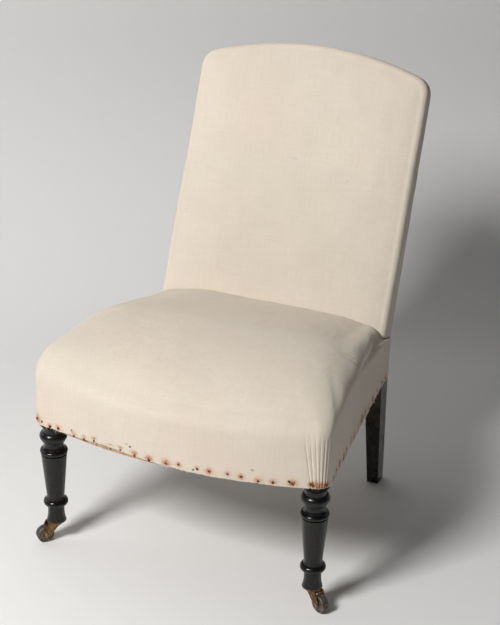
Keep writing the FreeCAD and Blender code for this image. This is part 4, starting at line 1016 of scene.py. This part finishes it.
def seat_pad(surface):
    """Wadding and hair under the calico, closed below at the rails."""
    points = seat_surface(-6.0, [RAIL_TOP + 1])
    points = tuck_against_back(points)
    points = points[::2, ::4]
    points[..., 1] = np.minimum(points[..., 1], 104 + 1000 * (points[..., 2] > 330))
    bottom = points[0].copy()
    middle_y = np.clip(bottom[:, 1], SEAT_FRONT_Y + 120, 90)
    middle = np.column_stack([bottom[:, 0] * 0.02, middle_y, bottom[:, 2]])
    rings = [bottom * (1 - way) + middle * way for way in (1.0, 0.66, 0.33)]
    points = np.concatenate([np.array(rings), points])
    return grid_object("seat_filling", points, surface, grid_lengths(points))


def back_pad(surface):
    """Wadding and hair under the calico of the back, closed behind."""
    rows = []
    for inset, n in BACK_PAD_ROWS:
        plan = back_outline(inset, BACK_CORNER_RADIUS + inset * 0.25, BACK_BASE + 3)[::4]
        rows.append(back_place(plan[:, 0] * 0.97, plan[:, 1], np.full(len(plan), n)))
    points = np.array(rows)
    on_middle = np.array([0.0, 1.0, 1.0])
    points = np.concatenate([points[:1] * on_middle, points, points[-1:] * on_middle])
    return grid_object("back_filling", points, surface, grid_lengths(points))


# Outside back, webbing and hessian


def outside_profile(z):
    """Rear face of the posts in side view: raked above the knee and splayed below it."""
    low = back_place(0.0, 0.0, rear_n(0.0))
    high = back_place(0.0, BACK_HEIGHT, rear_n(BACK_HEIGHT))
    slope = (high[1] - low[1]) / (high[2] - low[2])
    knee_y = low[1] + (KNEE_Z - low[2]) * slope
    upper = knee_y + (z - KNEE_Z) * slope
    lower = knee_y + (KNEE_Z - z) * (FOOT_REAR_Y - knee_y) / KNEE_Z
    ease = 14.0
    top = np.maximum(upper, lower)
    gap = np.abs(upper - lower)
    return top + np.where(gap < ease, (ease - gap) ** 2 / (4 * ease), 0)


def outside_point(x, z):
    return np.array([x, float(outside_profile(np.array(z))), z])


def outside_back(surface):
    """Calico down the rear of the chair, from under the crest to the foot of the back rail."""
    half = BACK_HALF_WIDTH - OUTSIDE_BACK_INSET
    columns = np.linspace(-half, half, 110)
    top_s = ARCH_CENTRE + np.sqrt((BACK_ARCH_RADIUS - OUTSIDE_BACK_INSET) ** 2 - columns ** 2)
    corner = BACK_CORNER_RADIUS - OUTSIDE_BACK_INSET
    past = np.maximum(np.abs(columns) - (half - corner), 0)
    top_s = top_s - (corner - np.sqrt(corner ** 2 - np.minimum(past, corner) ** 2))
    top_z = BACK_LIFT + top_s * RAKE_COS + rear_n(top_s) * RAKE_SIN
    rows = []
    for share in np.linspace(0, 1, 130):
        z = RAIL_BOTTOM + (top_z - RAIL_BOTTOM) * share
        rows.append(np.column_stack([columns, outside_profile(z) + 0.5, z]))
    points = np.array(rows)
    edge = half - np.abs(points[..., 0])
    push = wobble(points * np.array([1.0, 0.3, 0.3]), 40.0, 1.0, 31) * smoothstep(edge, 0, 60)
    push += wobble(points, 12.0, 0.15, 32)
    points[..., 1] += 0.6 * np.maximum(push, 0.0)
    uv = grid_lengths(points)
    made = grid_object("outside_back_sheet", points, surface, uv, unpainted(points), flip=True)
    thicken(made, CLOTH)
    return made, 2 * half, float(uv[-1, len(columns) // 2, 1])


def strap(start, end, across, thick, sag, verts, faces, uvs):
    """One webbing strap as a thin closed box that ripples and sags."""
    start, end, across = (np.array(v, float) for v in (start, end, across))
    length = np.linalg.norm(end - start)
    direction = (end - start) / length
    up = np.cross(direction, across)
    if up[2] < 0:
        up = -up
    section = [(j, 0) for j in range(STRAP_CELLS, -1, -1)] + [(j, 1) for j in range(STRAP_CELLS + 1)]
    first = len(verts)
    for i in range(STRAP_STEPS + 1):
        t = i / STRAP_STEPS
        drop = -sag * math.sin(math.pi * t)
        for j, layer in section:
            v = (j / STRAP_CELLS - 0.5) * STRAP_WIDTH
            ripple = 0.25 * math.sin(i * 1.9 + j * 0.8) + 0.2 * math.sin(j * 2.6)
            rise = drop + ripple * 0.5 + layer * thick
            verts.append(start + direction * length * t + across * v + up * rise)
            uvs.append((length * t, v))
    faces += tube_faces(first, STRAP_STEPS + 1, len(section))
    last = len(verts) - len(section)
    for k in range(1, STRAP_CELLS + 1):
        quad = (k, k - 1, len(section) - k, len(section) - 1 - k)
        faces.append(tuple(first + i for i in quad))
        faces.append(tuple(last + i for i in quad[::-1]))


def seat_straps(surface):
    """Four straps from front to rear and four across them, under the rails."""
    verts, faces, uvs = [], [], []
    rear = np.ravel(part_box("seat_webbing"))[4] / MM
    upper_z = RAIL_BOTTOM - SEAT_STRAP
    lower_z = RAIL_BOTTOM - 3.0
    for i in range(4):
        middle = (i - 1.5) * STRAP_PITCH
        front = float(front_y(abs(middle) + STRAP_WIDTH / 2, 9))
        strap((middle, front, upper_z), (middle, rear, upper_z), (1, 0, 0), SEAT_STRAP, 0.0,
              verts, faces, uvs)
    for i in range(4):
        y = FRONT_LEG_Y + 60 + i * STRAP_PITCH
        reach = float(side_x(y + STRAP_WIDTH / 2, 9))
        strap((-reach, y, lower_z), (reach, y, lower_z), (0, 1, 0), SEAT_STRAP, 0.4, verts, faces, uvs)
    return make_object("seat_webbing_straps", verts, faces, surface, uvs)


def back_straps(surface):
    """Three straps up the back and three across them."""
    verts, faces, uvs = [], [], []
    for x in (-95.0, 0.0, 95.0):
        start = back_place(x, 6.0, -5.9)
        end = back_place(x, BACK_HEIGHT - 31, -5.9)
        strap(start, end, (1, 0, 0), BACK_STRAP, 0, verts, faces, uvs)
    for s in (95.0, 205.0, 315.0):
        start = back_place(-200.0, s, -4.3)
        end = back_place(200.0, s, -4.3)
        strap(start, end, (0, RAKE_SIN, RAKE_COS), BACK_STRAP, 0, verts, faces, uvs)
    return make_object("back_webbing_straps", verts, faces, surface, uvs)


def sheet_grid(name, points, surface):
    made = grid_object(name, points, surface, grid_lengths(points))
    thicken(made, HESSIAN)
    return made, points


def seat_hessian(surface):
    """Spring hessian: from the rails up over the springs."""
    v, u = np.meshgrid(np.linspace(0, 1, 60), np.linspace(-1, 1, 60), indexing="ij")
    flat_y = SEAT_FRONT_Y + 14 + (100 - SEAT_FRONT_Y - 14) * v
    reach = side_x(flat_y, 11)
    bow = front_y(np.abs(u) * reach * 0.9, 12) - (SEAT_FRONT_Y + 12)
    x = u * reach
    y = flat_y + bow * (1 - v)
    inward = np.minimum(reach - np.abs(x), y - front_y(np.minimum(np.abs(x), 240.0), 9))
    lift = smoothstep(np.minimum(inward, 101 - y), 0, 80)
    low_z = RAIL_TOP + 0.8
    z = low_z + (RAIL_BOTTOM + 88.9 - low_z) * lift
    return sheet_grid("seat_hessian_sheet", np.stack([x, y, z], axis=-1), surface)


def back_hessian(surface):
    rows = []
    for share in np.linspace(0, 1, 50):
        x = np.linspace(-200, 200, 50)
        top = ARCH_CENTRE + np.sqrt((BACK_ARCH_RADIUS - 12) ** 2 - x ** 2) - 3
        s = 7 + (top - 7) * share
        rows.append(back_place(x, s, np.full_like(x, -1.9)))
    return sheet_grid("back_hessian_sheet", np.array(rows), surface)


# Assembly


def dress(piece, slot, *nodes):
    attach(piece, ROOT)
    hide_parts(*nodes)


def dress_nodes(surfaces):
    """Give each rigid CAD node its material; the first surface with a fitting start of a name is taken."""
    for name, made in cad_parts.items():
        for surface, starts in surfaces:
            if name.startswith(starts):
                for slot in made.material_slots:
                    slot.material = surface
                if not made.material_slots:
                    made.data.materials.append(surface)
                break


def camera():
    """Camera at the photograph's place; the picture is 500 by 625."""
    yaw, pitch, roll = (math.radians(angle) for angle in CAMERA_TURNS)
    level = Matrix.Rotation(yaw, 4, "Z") @ Matrix.Rotation(math.pi / 2 - pitch, 4, "X")
    data = bpy.data.cameras.new("camera")
    data.sensor_width = SENSOR
    data.lens = FOCAL_PIXELS * SENSOR / PICTURE_HEIGHT
    made = add("camera", data)
    made.matrix_world = Matrix.Translation(CAMERA_PLACE) @ level @ Matrix.Rotation(roll, 4, "Z")
    bpy.context.scene.camera = made


def area_light(name, place, aim, size, power, colour):
    data = bpy.data.lights.new(name, "AREA")
    data.shape = "RECTANGLE"
    data.size, data.size_y = size
    data.energy = power
    data.color = colour
    made = add(name, data)
    made.location = place
    made.rotation_euler = (Vector(aim) - Vector(place)).to_track_quat("-Z", "Y").to_euler()


def studio():
    """Pale floor that sweeps up into a backdrop, with painted light falloff: lighter at the front, darker
    towards the back and painted shade up the wall; a soft key, a weak light from the left, a dim world.
    """
    def tint(tree):
        place = node(tree, "ShaderNodeSeparateXYZ", {0: coordinates(tree)}).outputs
        grain = cloudy(tree, 1.2, 2.0)
        # Painted light falloff: the floor is painted lighter at the front and darker towards the back.
        painted_lit_floor = mix(tree, grain, grey(0.88), grey(0.92))
        painted_dim_floor = mix(tree, grain, grey(0.75), grey(0.79))
        floor_with_painted_falloff = mix(tree, ramp(tree, place[1], -0.8, 0.5), painted_lit_floor, painted_dim_floor)
        # Painted shade: the backdrop is painted darker as it rises up the wall.
        return mix(tree, ramp(tree, place[2], 0.02, 0.6), floor_with_painted_falloff, grey(0.66))

    surface = material("studio_paper", tint, 0.9)
    profile = [(-FLOOR_FRONT, 0.0), (SWEEP_START, 0.0)]
    for i in range(1, SWEEP_STEPS + 1):
        angle = math.pi / 2 * i / SWEEP_STEPS
        profile.append((SWEEP_START + SWEEP_RADIUS * math.sin(angle), SWEEP_RADIUS * (1 - math.cos(angle))))
    profile.append((SWEEP_START + SWEEP_RADIUS, WALL_TOP))
    sin = math.sin(math.radians(SWEEP_TURN))
    cos = math.cos(math.radians(SWEEP_TURN))
    points = []
    for out, up in profile:
        for across in (-FLOOR_HALF_WIDTH, FLOOR_HALF_WIDTH):
            points.append((across * cos - out * sin, across * sin + out * cos, up))
    floor = make_object("floor", np.array(points) / MM, grid_faces(len(profile), 2), surface)
    world = bpy.data.worlds.new("studio")
    world.use_nodes = True
    background = world.node_tree.nodes["Background"]
    background.inputs[0].default_value = rgba(WORLD_COLOUR)
    background.inputs[1].default_value = WORLD_STRENGTH
    bpy.context.scene.world = world
    for light in LIGHTS:
        area_light(*light)


def main():
    bpy.context.scene.view_settings.view_transform = "Standard"
    camera()
    studio()
    calico = material("calico_cloth", calico_colour, 0.92, bump=calico_bump, distance=0.0005,
                      Sheen_Weight=0.12, Sheen_Roughness=0.5)
    # The second colour of each woven cloth is painted shade in the gaps between its threads.
    wadding = woven("cotton_wadding", (0.75, 0.72, 0.66), (0.6, 0.57, 0.5), 0.004, 0.001)
    hessian = woven("hessian_cloth", (0.5, 0.38, 0.22), (0.08, 0.05, 0.03), 0.0022, 0.0006)
    jute = webbing_material()
    black = ebonised()
    beech = raw_wood("sawn_beech", (0.52, 0.35, 0.2), (0.34, 0.2, 0.1), (22, 3, 22))
    dowel = raw_wood("dowel_birch", (0.62, 0.46, 0.29), (0.5, 0.34, 0.19), (40, 40, 40))
    steel = metal("dull_steel", (0.3, 0.27, 0.24), (0.14, 0.11, 0.09), (0.1, 0.04, 0.02), 0.5)
    spring = metal("coppered_spring", (0.42, 0.22, 0.13), (0.2, 0.12, 0.09), (0.07, 0.04, 0.03), 0.42)
    brass = metal("tarnished_brass", (0.34, 0.2, 0.085), (0.13, 0.075, 0.038), (0.1, 0.035, 0.015), 0.48)
    wheel = metal("bronze_wheel", (0.21, 0.19, 0.165), (0.1, 0.088, 0.075), (0.09, 0.05, 0.03), 0.5, 0.75)
    iron = rusty("rusted_iron")

    dress_nodes(((black, ("front_leg", "back_post")),
                 (beech, ("side_rail", "front_rail", "back_rail", "crest_rail", "lower_back_rail",
                          "corner_blocks")),
                 (dowel, ("rail_dowels",)),
                 (steel, ("corner_block_screws", "caster_plate_screws", "caster_pintle", "caster_axle")),
                 (spring, ("seat_springs",)),
                 (brass, ("caster_plate", "caster_horn")),
                 (wheel, ("caster_wheel",))))

    cover, points, run, tacks = seat_cover(calico)
    dress(cover, "calico", "seat_cover")
    filling = seat_pad(wadding)
    dress(filling, "wadding", "seat_wadding", "seat_stuffing")
    back = back_cover(calico)
    dress(back, "calico", "back_cover")
    back_filling = back_pad(wadding)
    dress(back_filling, "wadding", "back_stuffing")
    outside, width, length = outside_back(calico)
    dress(outside, "calico", "outside_back_cover")
    dress(seat_tack_heads(iron, points, run, tacks), "rusty_tack", "seat_tacks")
    dress(back_tack_heads(iron), "rusty_tack", "back_tacks")
    threads = frayed_threads(calico, points, run)
    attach(threads, ROOT)
    dress(seat_straps(jute), "webbing", "seat_webbing")
    dress(back_straps(jute), "webbing", "back_webbing")
    for made, grid, node_name, rests in (
            (*seat_hessian(hessian), "seat_hessian", ["front_rail", "side_rail_left", "side_rail_right"]),
            (*back_hessian(hessian), "back_hessian", ["back_post_left", "back_post_right"])):
        dress(made, "hessian", node_name)


main()
